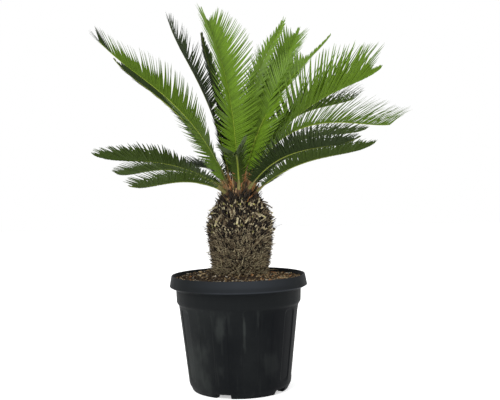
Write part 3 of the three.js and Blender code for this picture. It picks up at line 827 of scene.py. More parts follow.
def add_stubs(bundle, random, kind, roots, along, out, sizes, half_widths, paint):
    """Bent stubs: roots and ways are (stubs, 3), and sizes their lengths. Each tip bends
    towards out, and paint fits (stubs, rows of faces)."""
    count = len(sizes)
    curl = random.uniform(*kind.curls, count)
    wander = random.normal(0, STUB_WANDER, (count, 3))
    bend = out * (curl * sizes)[:, None] + wander * sizes[:, None]
    shares = np.append(np.linspace(0, 1, len(kind.profile) - 1), STUB_TIP)
    centres = bent_lines(roots, along, sizes, shares, bend)
    half_heights = half_widths * random.uniform(*STUB_FLATNESS, (count, 1))
    paint = paint[..., None]
    bundle.sweep(centres, out[:, None], half_widths, half_heights, kind.outline, paint)


# ---- Trunk

TRUNK_LOW, TRUNK_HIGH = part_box("trunk")
TRUNK_X = 0.0055
TRUNK_LEAN = 0.015
TRUNK_RADIUS = 0.0765
TRUNK_WIDEST = 0.385
TRUNK_UPPER_HALF = 0.105
TRUNK_LOWER_HALF = 0.175
TRUNK_SEED = 23
OLD_WOOD = 0.376
OLD_WOOD_FADE = 0.02
CORE_X = TRUNK_X + 0.0015
CORE_TOP = TRUNK_HIGH.z - 0.0004
CORE_COLUMNS = 120
CORE_ROWS = 90
CORE_DEPTH = 0.008
CORE_ROUGHNESS = 0.0018
CORE_ROUGHNESS_SCALE = 120
# Paint numbers are places among the looks.
BROWN, CREAM, YELLOW = 1, 3, 4
BASE_LOOKS = {
    "dark": (0.8, 0.45, 320.0, 0.001),
    "brown": (0.85, 0.45, 320.0, 0.001),
    "tan": (0.9, 0.4, 320.0, 0.001),
    "cream": (0.85, 0.3, 420.0, 0.0008),
    "yellow": (0.7, 0.3, 420.0, 0.0008),
}
LEAF_BASE_LEVELS = (OLD_WOOD - 0.006, TRUNK_HIGH.z - 0.003)
LEAF_BASE_SCATTER = (0.05, 0.002)
LEAF_BASE_DEPTH = CORE_DEPTH + 0.004
LEAF_BASE_DEEPER = 0.003
LEAF_BASE_LEANS = (42, 46)
LEAF_BASE_SHORTER = 0.8
# Limits up to which each paint but the last is dealt.
# Most leaf bases are dealt the near-black paint, which stands in for the shade among them: painted
# shade.
LEAF_BASE_LIMITS = (0.86, 0.93, 0.98)
CUT_LIMITS = (0.6, 0.84, 0.92, 0.98)
# Pale cut ends are dealt more often where the trunk faces the front and less towards its flanks:
# painted shade on the flanks.
CUT_FRONT = (0.0, -0.9)
CUT_FRONT_X = 0.05
CUT_FRONT_FADE = 0.6
CUT_PALER = 0.25
CUT_DARKER = 0.16
CUT_YELLOW_FROM = 0.975
STALK_LEVELS = (0.405, TRUNK_HIGH.z - 0.006)
STALK_START = 0.4
STALK_DEPTH = 0.003
STALK_LEAN = 128
STALK_LIMITS = (0.5, 0.84)
STALK_CREAM_ENDS = 0.6
STRAW_LEVELS = (TRUNK_LOW.z + 0.001, OLD_WOOD + 0.012)
STRAW_SCATTER = (0.06, 0.003)
STRAW_CROWDING = 1.5
STRAW_DEPTH = CORE_DEPTH + 0.001
STRAW_LEAN = 52
STRAW_LIMITS = (0.24, 0.38, 0.8)
STRAW_PALER = 0.15
# The straw is dealt darker towards the trunk's flanks: painted shade.
STRAW_DARKER = 0.4
STRAW_FLANK = (0.045, 0.07)
FIBRE_LEVELS = (TRUNK_LOW.z + 0.002, TRUNK_HIGH.z - 0.006)
FIBRE_DEPTH = 0.006
FIBRE_SWAY = 0.75
FIBRE_RISE = (-0.5, 1.4)
FIBRE_LENGTHS = (2.0, 3.2)
FIBRE_GROWTH = (1.5, 0.75)
FIBRE_WANDER = 0.22
FIBRE_PROFILE = np.array([0.0006, 0.00056, 0.00048, 0.00034, 0.00012])
FIBRE_OUTLINE = [(1, -0.5), (0, 1), (-1, -0.5)]
FIBRE_LIMITS = (0.3, 0.6, 0.92)


def trunk_radius(heights):
    """Radius of the egg-shaped trunk."""
    rise = heights - TRUNK_WIDEST
    half = np.where(rise > 0, TRUNK_UPPER_HALF, TRUNK_LOWER_HALF)
    return TRUNK_RADIUS * np.sqrt(np.maximum(1 - (rise / half) ** 2, 0))


def trunk_centre(heights):
    """How far to the right the leaning trunk's middle line is."""
    return TRUNK_X + TRUNK_LEAN * (heights - TRUNK_LOW.z)


def trunk_surface(angles, heights, depth):
    """Places at a depth under the trunk's surface, with the way out, up and round there."""
    step = 0.0005
    slope = (trunk_radius(heights + step) - trunk_radius(heights - step)) / (2 * step)
    outward = circle_points(angles)
    out = unit(outward - slope[:, None] * UP)
    up = unit(outward * slope[:, None] + UP)
    places = outward * trunk_radius(heights)[:, None]
    places[:, 0] += trunk_centre(heights)
    places[:, 2] = heights
    return places - out * np.reshape(depth, (-1, 1)), out, up, np.cross(up, out)


def trunk_spread(random, count, levels, scatter, crowding=1.0):
    """Angles and heights of an uneven golden-angle spiral, crowded towards the foot."""
    low, high = levels
    rows = np.linspace(low, high, 400)
    fade = smoothstep(rows, low, OLD_WOOD + OLD_WOOD_FADE)
    total = np.cumsum(trunk_radius(rows) * mix(crowding, 1.0, fade))
    total = (total - total[0]) / (total[-1] - total[0])
    heights = np.interp((np.arange(count) + 0.5) / count, total, rows)
    angles = np.arange(count) * GOLDEN_ANGLE + random.normal(0, scatter[0], count)
    return angles, heights + random.normal(0, scatter[1], count)


def make_trunk(settings):
    """The trunk's core, painted near-black as the shade between the leaf bases, and the leaf
    bases, straw and fibres that cover it.
    """
    random = np.random.default_rng(TRUNK_SEED)
    core = Bundle()
    angles = even_angles(CORE_COLUMNS)
    levels = np.linspace(TRUNK_LOW.z, CORE_TOP, CORE_ROWS)[:, None]
    radii = np.repeat(trunk_radius(levels) - CORE_DEPTH, len(angles), axis=1)
    places = circle_points(angles) * radii[..., None]
    places[..., 2] = levels
    bumps = noise_at(places.reshape(-1, 3), CORE_ROUGHNESS_SCALE).reshape(radii.shape)
    core.lathe(radii + CORE_ROUGHNESS * bumps, levels, angles, CORE_X)
    hollows = mottled("trunk_hollows", settings.hollows, 0.95, scale=300.0, bump=0.002)
    core.build("trunk_core", [hollows], ["trunk"], smooth=True)

    materials = tinted("base", settings, BASE_LOOKS)
    bases = Bundle()
    add_leaf_bases(bases, random, settings)
    add_cut_stalks(bases, random, settings)
    bases.build("leaf_bases", materials)
    straw = Bundle()
    add_straw(straw, random, settings)
    straw.build("old_straw", materials)
    fluff = Bundle()
    add_fibres(fluff, random, settings)
    fluff.build("trunk_fibres", materials[:YELLOW])


def add_leaf_bases(bundle, random, settings):
    """Upright leaf bases over the young, upper part of the trunk, most of them near-black as
    painted shade. Some have pale cut ends, more of them in front and fewer towards the
    flanks, which are left darker as painted shade."""
    count = settings.stubs
    angles, heights = trunk_spread(random, count, LEAF_BASE_LEVELS, LEAF_BASE_SCATTER)
    heights = np.minimum(heights, LEAF_BASE_LEVELS[1])
    top = smoothstep(heights, OLD_WOOD, TRUNK_HIGH.z)
    depth = LEAF_BASE_DEPTH + LEAF_BASE_DEEPER * top
    places, out, up, around = trunk_surface(angles, heights, depth)
    along = stub_ways(random, LEAF_BASE, mix(*LEAF_BASE_LEANS, top), out, up, around)
    length = settings.stub_length * mix(1.0, LEAF_BASE_SHORTER, top)
    sizes = length * random.uniform(*LEAF_BASE.lengths, count)
    half_widths = stub_widths(random, LEAF_BASE, count)
    body = dealt(random.uniform(0, 1, count), LEAF_BASE_LIMITS)
    draw = random.uniform(0, 1, count)
    from_front = out[:, 1] - CUT_FRONT_FADE * np.abs(out[:, 0] - CUT_FRONT_X)
    in_front = smoothstep(from_front, *CUT_FRONT)
    paler = draw + CUT_PALER * in_front - CUT_DARKER
    cut = dealt(np.minimum(paler, np.maximum(draw, CUT_YELLOW_FROM)), CUT_LIMITS)
    paint = with_ends(LEAF_BASE, body, cut, rows=2)
    add_stubs(bundle, random, LEAF_BASE, places, along, out, sizes, half_widths, paint)


def add_cut_stalks(bundle, random, settings):
    """A few long, pale stalks left by fronds cut from the top of the trunk."""
    count = settings.stalks
    angles = np.arange(count) * GOLDEN_ANGLE + STALK_START
    heights = random.uniform(*STALK_LEVELS, count)
    places, out, up, around = trunk_surface(angles, heights, STALK_DEPTH)
    along = stub_ways(random, CUT_STALK, STALK_LEAN, out, up, around)
    sizes = settings.stub_length * random.uniform(*CUT_STALK.lengths, count)
    half_widths = stub_widths(random, CUT_STALK, count)
    draw = random.uniform(0, 1, count)
    cut = np.where(draw < STALK_CREAM_ENDS, CREAM, YELLOW)
    paint = with_ends(CUT_STALK, BROWN + dealt(draw, STALK_LIMITS), cut, rows=1)
    add_stubs(bundle, random, CUT_STALK, places, along, -up, sizes, half_widths, paint)


def add_straw(bundle, random, settings):
    """Worn, straw-like ends that stand close together on the old, lower part, paler towards
    the foot and darker at the trunk's flanks, which is painted shade."""
    count = settings.straw
    angles, heights = trunk_spread(random, count, STRAW_LEVELS, STRAW_SCATTER, STRAW_CROWDING)
    heights = np.clip(heights, *STRAW_LEVELS)
    places, out, up, around = trunk_surface(angles, heights, STRAW_DEPTH)
    along = stub_ways(random, WORN_END, STRAW_LEAN, out, up, around)
    sizes = settings.straw_length * random.uniform(*WORN_END.lengths, count)
    half_widths = stub_widths(random, WORN_END, count)
    draw = random.uniform(0, 1, count)
    draw = draw + STRAW_PALER * (1 - smoothstep(heights, STRAW_LEVELS[0], OLD_WOOD))
    draw = draw - STRAW_DARKER * smoothstep(np.abs(places[:, 0] - TRUNK_X), *STRAW_FLANK)
    paint = dealt(draw, STRAW_LIMITS)[:, None]
    add_stubs(bundle, random, WORN_END, places, along, up, sizes, half_widths, paint)


def add_fibres(fluff, random, settings):
    """Loose fibres that stand out between the leaf bases."""
    count = settings.fibres
    angles = random.uniform(0, 2 * np.pi, count)
    heights = random.uniform(*FIBRE_LEVELS, count)
    places, out, up, around = trunk_surface(angles, heights, FIBRE_DEPTH)
    sway = random.normal(0, FIBRE_SWAY, (count, 1))
    along = unit(out + up * random.uniform(*FIBRE_RISE, (count, 1)) + around * sway)
    length = settings.fibre_length * random.beta(*FIBRE_LENGTHS, count)
    length = length * mix(*FIBRE_GROWTH, smoothstep(heights, OLD_WOOD, TRUNK_HIGH.z))
    wander = random.normal(0, FIBRE_WANDER, (count, 3)) * length[:, None]
    shares = np.linspace(0, 1, len(FIBRE_PROFILE))
    centres = bent_lines(places, along, length, shares, wander)
    half_widths = FIBRE_PROFILE * np.ones((count, 1))
    paint = dealt(random.uniform(0, 1, count), FIBRE_LIMITS)[:, None, None]
    fluff.sweep(centres, up[:, None], half_widths, half_widths, FIBRE_OUTLINE, paint)


# ---- Crown base

HEAD_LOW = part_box("crown_base")[0]
HEAD_RADIUS = 0.05
HEAD_HEIGHT = 0.026
HEAD_X = TRUNK_X + TRUNK_LEAN * (HEAD_LOW.z - TRUNK_LOW.z)
DOME_RADIUS = HEAD_RADIUS - 0.006
DOME_HEIGHT = HEAD_HEIGHT - 0.002
DOME_COLUMNS = 64
DOME_ROWS = 14
CROWN_SEED = 31
RUST, FELT, UMBER, HOLLOW_SHADE, OLIVE, SHADED_OUTER = range(6)
BUD_LOOKS = {
    "rust": (0.9, 0.4, 260.0, 0.0012),
    "tan": (0.9, 0.35, 260.0, 0.0012),
    "umber": (0.9, 0.4, 260.0, 0.0012),
    "hollows": (0.95, 0.4, 260.0, 0.0012),
    "olive": (0.85, 0.35, 260.0, 0.001),
    "worn": (0.85, 0.45, 320.0, 0.001),
}
BUD_RADIUS = 0.038
BUD_LEANS = (0.3, 1.1)
BUD_RISE = 0.055
BUD_DEPTH = 0.004
BUD_GROWTH = (1.1, 0.75)
BUD_LENGTHS = (0.6, 1.25)
BUD_CURL = 0.14
BUD_WANDER = 0.08
BUD_PROFILE = np.array([0.0022, 0.0024, 0.0021, 0.0016, 0.0009, 0.0002])
BUD_WIDTHS = (0.6, 1.2)
BUD_THICKNESS = 0.35
BUD_OUTLINE = [(1, -0.2), (0, 1), (-1, -0.2), (0, -0.6)]
BUD_LIMITS = (0.45, 0.75)
COLLAR_RADIUS = 0.043
COLLAR_X = HEAD_X - 0.002
COLLAR_AREA = (0.42, 1.32)
COLLAR_DEPTHS = (0.003, 0.019)
COLLAR_DEEPER_FROM = 0.034
COLLAR_TILTS = (0.1, 0.3)
COLLAR_OUTER_TILT = 0.45
COLLAR_TILTED = (0.042, 0.049)
COLLAR_TILT_SPREAD = 0.12
COLLAR_LENGTH_SPREAD = 0.35
COLLAR_OUTER_LENGTH = 0.5
COLLAR_SHORTENED = (0.038, 0.047)
COLLAR_OUTER_SHADE = 0.85
COLLAR_SHADED_RADII = (0.034, 0.041)
COLLAR_PAINTS = np.array([UMBER, RUST, OLIVE, FELT])
COLLAR_LIMITS = (0.3, 0.4, 0.85)


def head_height(radii):
    """Height of the dome's surface at a distance from its middle line."""
    share = np.clip(radii / HEAD_RADIUS, 0, 1)
    return HEAD_LOW.z + HEAD_HEIGHT * np.sqrt(1 - share**2)


def make_crown(settings):
    """The low dome between the fronds' feet, painted near-black as the shade between them, its
    bud scales and the leaf bases round it.
    """
    random = np.random.default_rng(CROWN_SEED)
    materials = tinted("bud", settings, BUD_LOOKS)
    dome = Bundle()
    rises = np.linspace(0, np.pi / 2, DOME_ROWS)[:, None]
    rings = np.maximum(DOME_RADIUS * np.cos(rises), POLE_RADIUS)
    heights = HEAD_LOW.z + DOME_HEIGHT * np.sin(rises)
    dome.lathe(rings, heights, even_angles(DOME_COLUMNS), HEAD_X, HOLLOW_SHADE)
    dome.build("bud_dome", materials, ["crown_base"], smooth=True)
    scales = Bundle()
    add_bud_scales(scales, random, settings)
    scales.build("bud_scales", materials)
    collar = Bundle()
    add_collar(collar, random, settings)
    collar.build("collar_bases", materials)


def add_bud_scales(scales, random, settings):
    """Pointed scales over the dome, longest in its middle and curling outwards."""
    count = settings.scales
    share = np.sqrt((np.arange(count) + 0.5) / count)
    outward = circle_points(np.arange(count) * GOLDEN_ANGLE)
    radii = BUD_RADIUS * share
    foot = outward * radii[:, None]
    along = unit(foot * random.uniform(*BUD_LEANS, (count, 1)) + (0, 0, BUD_RISE))
    foot[:, 0] += HEAD_X
    foot[:, 2] = head_height(radii) - BUD_DEPTH
    length = settings.scale_length * mix(*BUD_GROWTH, share)
    length = length * random.uniform(*BUD_LENGTHS, count)
    curl = outward * BUD_CURL + random.normal(0, BUD_WANDER, (count, 3))
    shares = np.linspace(0, 1, len(BUD_PROFILE))
    centres = bent_lines(foot, along, length, shares, curl * length[:, None])
    half_widths = BUD_PROFILE * random.uniform(*BUD_WIDTHS, (count, 1))
    half_heights = half_widths * BUD_THICKNESS
    paint = dealt(random.uniform(0, 1, count), BUD_LIMITS)[:, None, None]
    scales.sweep(centres, -outward[:, None], half_widths, half_heights, BUD_OUTLINE, paint)


def add_collar(collar, random, settings):
    """Short leaf bases round the bud. The outer ones sit deeper, tilt out, and are mostly
    painted near-black as shade.
    """
    count = settings.collar
    radii = COLLAR_RADIUS * np.sqrt(random.uniform(*COLLAR_AREA, count))
    outward = circle_points(random.uniform(0, 2 * np.pi, count))
    roots = outward * radii[:, None]
    roots[:, 0] += COLLAR_X
    depths = mix(*COLLAR_DEPTHS, smoothstep(radii, COLLAR_DEEPER_FROM, COLLAR_RADIUS))
    roots[:, 2] = head_height(radii) - depths
    tilt = mix(*COLLAR_TILTS, radii / COLLAR_RADIUS)
    tilt = tilt + COLLAR_OUTER_TILT * smoothstep(radii, *COLLAR_TILTED)
    tilt = (tilt + random.normal(0, COLLAR_TILT_SPREAD, count))[:, None]
    sideways = np.cross(outward, UP) * random.normal(0, COLLAR_BASE.sway, (count, 1))
    along = unit(outward * tilt + UP + sideways)
    sizes = settings.collar_length * random.lognormal(0, COLLAR_LENGTH_SPREAD, count)
    sizes = sizes * mix(1, COLLAR_OUTER_LENGTH, smoothstep(radii, *COLLAR_SHORTENED))
    half_widths = stub_widths(random, COLLAR_BASE, count)
    fresh = COLLAR_PAINTS[dealt(random.uniform(0, 1, count), COLLAR_LIMITS)]
    # Most of the outermost bases take the near-black paint: painted shade under the crown.
    worn = random.uniform(0, 1, count) < COLLAR_OUTER_SHADE * smoothstep(radii, *COLLAR_SHADED_RADII)
    paint = np.where(worn, SHADED_OUTER, fresh)[:, None]
    add_stubs(collar, random, COLLAR_BASE, roots, along, outward, sizes, half_widths, paint)


# ---- Fronds


class Frond(NamedTuple):
    """One frond, in degrees and metres. rise is of its foot above level and bend is
    downwards; ring runs from 0 beside the bud to 1 at the edge of the crown base, and tone
    from 0, bright, to 4, dark. width widens the outer leaflets, longest moves the longest
    ones towards the tip as it grows, and tip is the share of their length left at the tip,
    where the short ones begin at the share spear. fold is how far the first leaflets are
    raised and full_fold the later ones, from the share fold_by on. closing is how far the
    last ones lean towards the tip, rib widens the rib, and petiole is the share of the frond
    that has no leaflets. tufts is how far the leaflets' tips gather in tufts, wisps how slim
    and dark the later leaflets become, and jitter how uneven the leaflets lie."""

    azimuth: float
    turn: float
    rise: float
    bend: float
    roll: float
    length: float
    leaflet: float
    ring: float
    tone: int
    width: float = 1.0
    longest: float = 1.3
    tip: float = 0.3
    spear: float = 0.82
    fold: float = 8.4
    full_fold: float = 42
    fold_by: float = 0.45
    closing: float = 14
    rib: float = 1.0
    petiole: float = 0.085
    tufts: float = 0.4
    wisps: float = 0.0
    jitter: float = 1.2


FRONDS = [
    Frond(108, 5, 90, 57.5, 10, 0.584, 0.117, 0.1, 0, tip=0.2, spear=0.765, full_fold=44,
          closing=32, rib=0.45),
    Frond(58, -39.4, 72, 41.4, 25, 0.512, 0.096, 0.05, 0, longest=0.6, tip=0.3, spear=0.67),
    Frond(206, 4, 72, 45.7, 7, 0.478, 0.094, 0.5, 2, 0.8, 1.1, 1.25, fold=-27, full_fold=34,
          fold_by=0.56, petiole=0.05, wisps=0.55),
    Frond(22, -12, 73.7, 59.6, 10, 0.484, 0.146, 0.45, 0, 1.1, 1.2, 0.3, spear=0.76,
          full_fold=60, fold_by=0.35, closing=10, petiole=0.24, tufts=0.0, jitter=2.2),
    Frond(148, 0, 84, 31.8, 0, 0.480, 0.079, 0.45, 4, 0.68, 1.6, 1.0, closing=18, wisps=0.45,
          tufts=0.2, jitter=5),
    Frond(76.2, -22, 88, 52.5, 36, 0.543, 0.045, 0.35, 0, longest=1.0, tip=1.0, rib=0.35,
          tufts=0.8),
    Frond(212, 1, 40, 42.8, 0, 0.354, 0.072, 0.8, 3, 1.25, tip=0.5, petiole=0.16),
    Frond(321, -6, 39.4, 36.9, 0, 0.367, 0.070, 1, 3, longest=1.0, tip=0.6),
    Frond(231, 8, 25.5, 35.6, 0, 0.350, 0.067, 1, 3, longest=1.0, petiole=0.14),
    Frond(297, 7, 37, 40, 0, 0.460, 0.075, 0.8, 4, longest=0.9),
    Frond(355, 0, 88, 106, 0, 0.418, 0.118, 0.6, 2, 0.4, 1.5, 1.4, spear=0.85, closing=-8,
          petiole=0.16, tufts=0.5, jitter=2),
    Frond(268, 0, 78, 92, 15, 0.280, 0.066, 0.9, 3, 1.2, 1.8, rib=1.2),
    Frond(172, -6, 76, 44, 50, 0.452, 0.064, 0.75, 4, 0.8, petiole=0.2),
    Frond(38, -12, 79, 79.2, 0, 0.440, 0.117, 0.4, 3, 0.68, 1.3, 0.9, closing=0, wisps=0.4,
          jitter=4),
    Frond(40, -13, 67, 70.2, 0, 0.428, 0.085, 0.85, 3, 0.8, tip=0.7, wisps=0.3, jitter=5),
    Frond(65, -9, 78, 42, 16, 0.560, 0.104, 0.55, 1, rib=0.35),
    Frond(111, 5, 71, 19, 0, 0.486, 0.036, 0.45, 4, tip=0.8),
    Frond(147, -12, 38.6, 49.4, 0, 0.414, 0.074, 0.95, 3, tip=0.9),
    Frond(114, 4, 38.5, 42, 0, 0.362, 0.060, 0.9, 4, tip=0.5, petiole=0.1),
    Frond(74, 0, 60, 60, 0, 0.455, 0.085, 0.85, 3),
    Frond(60, 4, 46, 50, 0, 0.425, 0.075, 1, 3),
    Frond(96, -2, 72, 70, 0, 0.450, 0.085, 0.65, 2),
    Frond(90, 6, 34, 42, 0, 0.425, 0.075, 1, 4),
    Frond(128, 0, 30, 44, 0, 0.370, 0.058, 0.85, 3),
]
FROND_SEED = 47
FOOT_RADIUS_IN_CROWN = 0.014
FOOT_SPREAD = 0.032
ROLL_SHARE = 0.4
TIP_LIFT = 22
TIP_LIFT_POWER = 8
RIB_THICKNESS = (0.0022, 0.0006)
RIB_FOOT_SHARE = 0.14
RIB_FOOT_WIDER = 0.0028
RIB_FOOT_HIGHER = 0.002
RIB_FOOT_DEPTH = 0.008
RIB_SIDES = 10
FOOT_STATIONS = 9
BLADE_STATIONS = 44
CLOSE_STATIONS = 160
RIB_TINT = 0.42
# Roughness, contrast, scale, bump and gloss of the fronds' finishes.
RIB_LOOK = (0.45, 0.12, 200.0)
FELT_LOOK = (0.9, 0.4, 300.0, 0.001)
PETIOLE_LOOK = (0.6, 0.25, 200.0, 0.0006)
LEAF_LOOK = (0.42, 0.1, 90.0, 0.0002, 0.2)
UNDER_LOOK = (0.6, 0.1, 90.0, 0.0002, 0.1)
FELT_TO = 0.03
PETIOLE_TO = 0.12
SHADES = (0.86, 1.0, 1.14)
UNDER_SHADE = 0.85
# Tones from light to dark: partly the fronds' age, partly painted light on the upper fronds and
# painted shade on the low and hidden ones.
TONES = ("bright", "fresh", "green", "deep", "dark")
FELT_PAINT = len(TONES)
PETIOLE_PAINT = FELT_PAINT + 1
LAST_UPPER_TONE = 2
FIRST_BACK_FROND = 19
LEAFLET_ANGLES = (76, 38)
LEAFLET_STAGGER = 0.25
LEAFLET_SHIFT = 0.12
LEAFLET_ENDS = (0.002, 0.999)
LEAFLET_TILT = 1.2
LEAFLET_LENGTHS = (0.93, 1.04)
FIRST_LEAFLET = 0.22
SPEAR_SPREAD = 0.11
SWELL_POWER = 0.6
TUFT_SIZES = (2, 6)
HOOK = 0.1
DROOP = (-0.02, 0.07)
LEAFLET_STATIONS = np.array([0, 0.06, 0.2, 0.4, 0.6, 0.78, 0.92, 1.0])
LEAFLET_PROFILE = np.array([1.2, 1.25, 1.18, 0.98, 0.7, 0.46, 0.25, 0.04])
LEAFLET_WIDTHS = (0.9, 1.08)
LEAFLET_OUTLINE = [(1, -0.42), (0, 0.16), (-1, -0.42), (0, -0.16)]
SHORT_LEAFLET = 0.03
# How far out a leaflet turns slim, then from where to where on the frond its inner and outer
# parts do, and the share from which it takes the darkest tone.
WISP_OUTER = (0.4, 0.7)
WISP_INNER_FROM = (0.78, 0.92)
WISP_OUTER_FROM = (0.4, 0.75)
WISP_DARK = 0.5


def node_name(number):
    """Name of the node that a frond's leaflets stand for."""
    return f"frond_{number + 1:02d}"


def leaflet_share(frond, u):
    """Share of the longest leaflet at u, from 0 at the first leaflets to 1 at the tip."""
    swell = np.sin(np.pi * np.clip(u, 0, 1) ** frond.longest) ** SWELL_POWER
    spear = smoothstep(u, frond.spear, frond.spear + SPEAR_SPREAD)
    return mix(FIRST_LEAFLET, 1.0, swell) * mix(1.0, frond.tip, spear)


def rib_frames(frond, shares):
    """Places along a frond's rib, with the way on, up and to the right there."""
    bend = frond.bend * (1 - (1 - shares) ** (1 + frond.ring))
    rise = np.radians(frond.rise - bend + TIP_LIFT * shares**TIP_LIFT_POWER)
    level = circle_points(np.radians(frond.azimuth + frond.turn * shares))
    on = level * np.cos(rise)[:, None] + UP * np.sin(rise)[:, None]
    upright = UP * np.cos(rise)[:, None] - level * np.sin(rise)[:, None]
    roll = np.radians(frond.roll) * smoothstep(shares, 0, ROLL_SHARE)
    right = np.cross(on, upright)
    up = upright * np.cos(roll)[:, None] + right * np.sin(roll)[:, None]
    foot_radius = FOOT_RADIUS_IN_CROWN + FOOT_SPREAD * frond.ring
    foot = circle_points(np.radians(np.array(float(frond.azimuth)))) * foot_radius
    foot = foot + np.array([HEAD_X, 0, head_height(foot_radius)])
    steps = (on[1:] + on[:-1]) / 2 * (np.diff(shares) * frond.length)[:, None]
    places = foot + np.vstack((np.zeros(3), np.cumsum(steps, axis=0)))
    return places, on, up, np.cross(on, up)


def along_rib(frond, wanted):
    """Rib frames at any shares, read from a close-set line."""
    shares = np.linspace(0, 1, CLOSE_STATIONS)
    return [
        np.stack([np.interp(wanted, shares, part[:, axis]) for axis in range(3)], axis=1)
        for part in rib_frames(frond, shares)
    ]


def add_rib(ribs, frond):
    """The petiole and the rib: stout and felted at the foot, slim and green beyond."""
    petiole = np.linspace(0, frond.petiole, FOOT_STATIONS)
    blade = np.linspace(frond.petiole, 1, BLADE_STATIONS)
    shares = np.append(petiole, blade[1:])
    places, on, up, _ = rib_frames(frond, shares)
    places[0] -= on[0] * RIB_FOOT_DEPTH
    foot = 1 - smoothstep(shares, 0, RIB_FOOT_SHARE)
    half_widths = (mix(*RIB_THICKNESS, shares) + RIB_FOOT_WIDER * foot) * frond.rib
    half_heights = mix(*RIB_THICKNESS, shares) + RIB_FOOT_HIGHER * foot
    outline = circle_points(even_angles(RIB_SIDES) + np.pi / RIB_SIDES)
    middles = (shares[1:] + shares[:-1]) / 2
    felted = [middles < FELT_TO, middles < PETIOLE_TO]
    paint = np.select(felted, [FELT_PAINT, PETIOLE_PAINT], frond.tone)[None, :, None]
    ribs.sweep(places[None], up[None], half_widths[None], half_heights[None], outline, paint)


def tuft_places(random, count):
    """Each leaflet's place in its tuft, counted from the tuft's middle."""
    sizes = random.integers(*TUFT_SIZES, count)
    ends = np.cumsum(sizes)
    tuft = np.searchsorted(ends, np.arange(count), side="right")
    return np.arange(count) - (ends[tuft] - sizes[tuft] / 2 - 0.5)


def add_leaflets(leaves, frond, random, settings):
    """Two rows of slim, roof-shaped leaflets, each hooked a little towards the frond's tip."""
    count = round(frond.length * (1 - frond.petiole) / settings.pitch)
    for side in (-1, 1):
        shift = random.uniform(-LEAFLET_SHIFT, LEAFLET_SHIFT, count)
        u = (np.arange(count) + 0.5 + LEAFLET_STAGGER * side + shift) / count
        u = np.clip(u, *LEAFLET_ENDS)
        places, on, up, right = along_rib(frond, mix(frond.petiole, 1.0, u))
        angle = mix(*LEAFLET_ANGLES, u) - frond.closing * smoothstep(u, 0.5, 1)
        angle = np.radians(angle + random.normal(0, frond.jitter, count))
        fold = mix(frond.fold, frond.full_fold, smoothstep(u, 0, frond.fold_by))
        fold = np.radians(fold + random.normal(0, LEAFLET_TILT, count))
        outwards = side * right * np.cos(fold)[:, None] + up * np.sin(fold)[:, None]
        along = unit(on * np.cos(angle)[:, None] + outwards * np.sin(angle)[:, None])
        normal = unit(side * np.cross(along, on))
        share = leaflet_share(frond, u)
        length = frond.leaflet * share * random.uniform(*LEAFLET_LENGTHS, count)
        hook = (on - along * np.sum(on * along, axis=1)[:, None]) * HOOK
        droop = normal * random.uniform(*DROOP, (count, 1))
        gather = on * (tuft_places(random, count) * settings.pitch * -frond.tufts)[:, None]
        bend = (hook - droop) * length[:, None]
        centres = bent_lines(places, along, length, LEAFLET_STATIONS, bend)
        centres = centres + gather[:, None] * (LEAFLET_STATIONS**1.5)[None, :, None]
        half_widths = leaflet_widths(frond, random, settings, u, length)
        paint = leaflet_paints(frond, random, u)
        normal = normal[:, None]
        leaves.sweep(centres, normal, half_widths, half_widths, LEAFLET_OUTLINE, paint)


def leaflet_widths(frond, random, settings, u, length):
    """Half widths along each leaflet: less for short ones, and less far out for wispy ones."""
    slim = mix(1.0, frond.width, smoothstep(u, 0, 0.5))
    slim = slim * np.minimum(1, length / SHORT_LEAFLET) ** 0.5
    widest = settings.half_width * slim * random.uniform(*LEAFLET_WIDTHS, len(u))
    inner = smoothstep(u, *WISP_INNER_FROM)[:, None]
    outer = smoothstep(u, *WISP_OUTER_FROM)[:, None]
    wispy = mix(inner, outer, smoothstep(LEAFLET_STATIONS, *WISP_OUTER))
    return widest[:, None] * LEAFLET_PROFILE * (1 - frond.wisps * wispy)


def leaflet_paints(frond, random, u):
    """Paints of the leaflets' two upper and two under faces: a shade of the frond's tone,
    or of the darkest where a wispy frond ends."""
    shade_draw = random.integers(0, len(SHADES), len(u))
    tone = np.where(frond.wisps * u > WISP_DARK, len(TONES) - 1, frond.tone)
    top = tone * len(SHADES) + shade_draw
    under = len(TONES) * len(SHADES) + tone
    return np.stack((top, top, under, under), axis=1)[:, None]


def leaf_materials(settings):
    """Three shades of each tone for the upper faces, then one pale underside a tone."""
    colours = {tone: getattr(settings, tone) for tone in TONES}
    tops = [
        mottled(f"leaf_{tone}_{number}", shade(colour, factor), *LEAF_LOOK)
        for tone, colour in colours.items()
        for number, factor in enumerate(SHADES)
    ]
    unders = [
        mottled(f"leaf_{tone}_under", shade(colour, UNDER_SHADE), *UNDER_LOOK)
        for tone, colour in colours.items()
    ]
    return tops + unders


def rib_materials(settings):
    """A rib colour for each tone, then the felt and the skin of the fronds' feet."""
    finishes = []
    for tone in TONES:
        colour = mix(np.array(getattr(settings, tone)), np.array(settings.rib), RIB_TINT)
        finishes.append(mottled(f"rib_{tone}", tuple(colour), *RIB_LOOK))
    felt = bpy.context.scene.sago_palm.crown.umber
    finishes.append(mottled("petiole_felt", felt, *FELT_LOOK))
    finishes.append(mottled("petiole", settings.petiole, *PETIOLE_LOOK))
    return finishes


def leaflet_group(number):
    """Name of the mesh that holds a frond's leaflets."""
    if number >= FIRST_BACK_FROND:
        return "leaflets_back"
    return "leaflets_upper" if FRONDS[number].tone <= LAST_UPPER_TONE else "leaflets_lower"


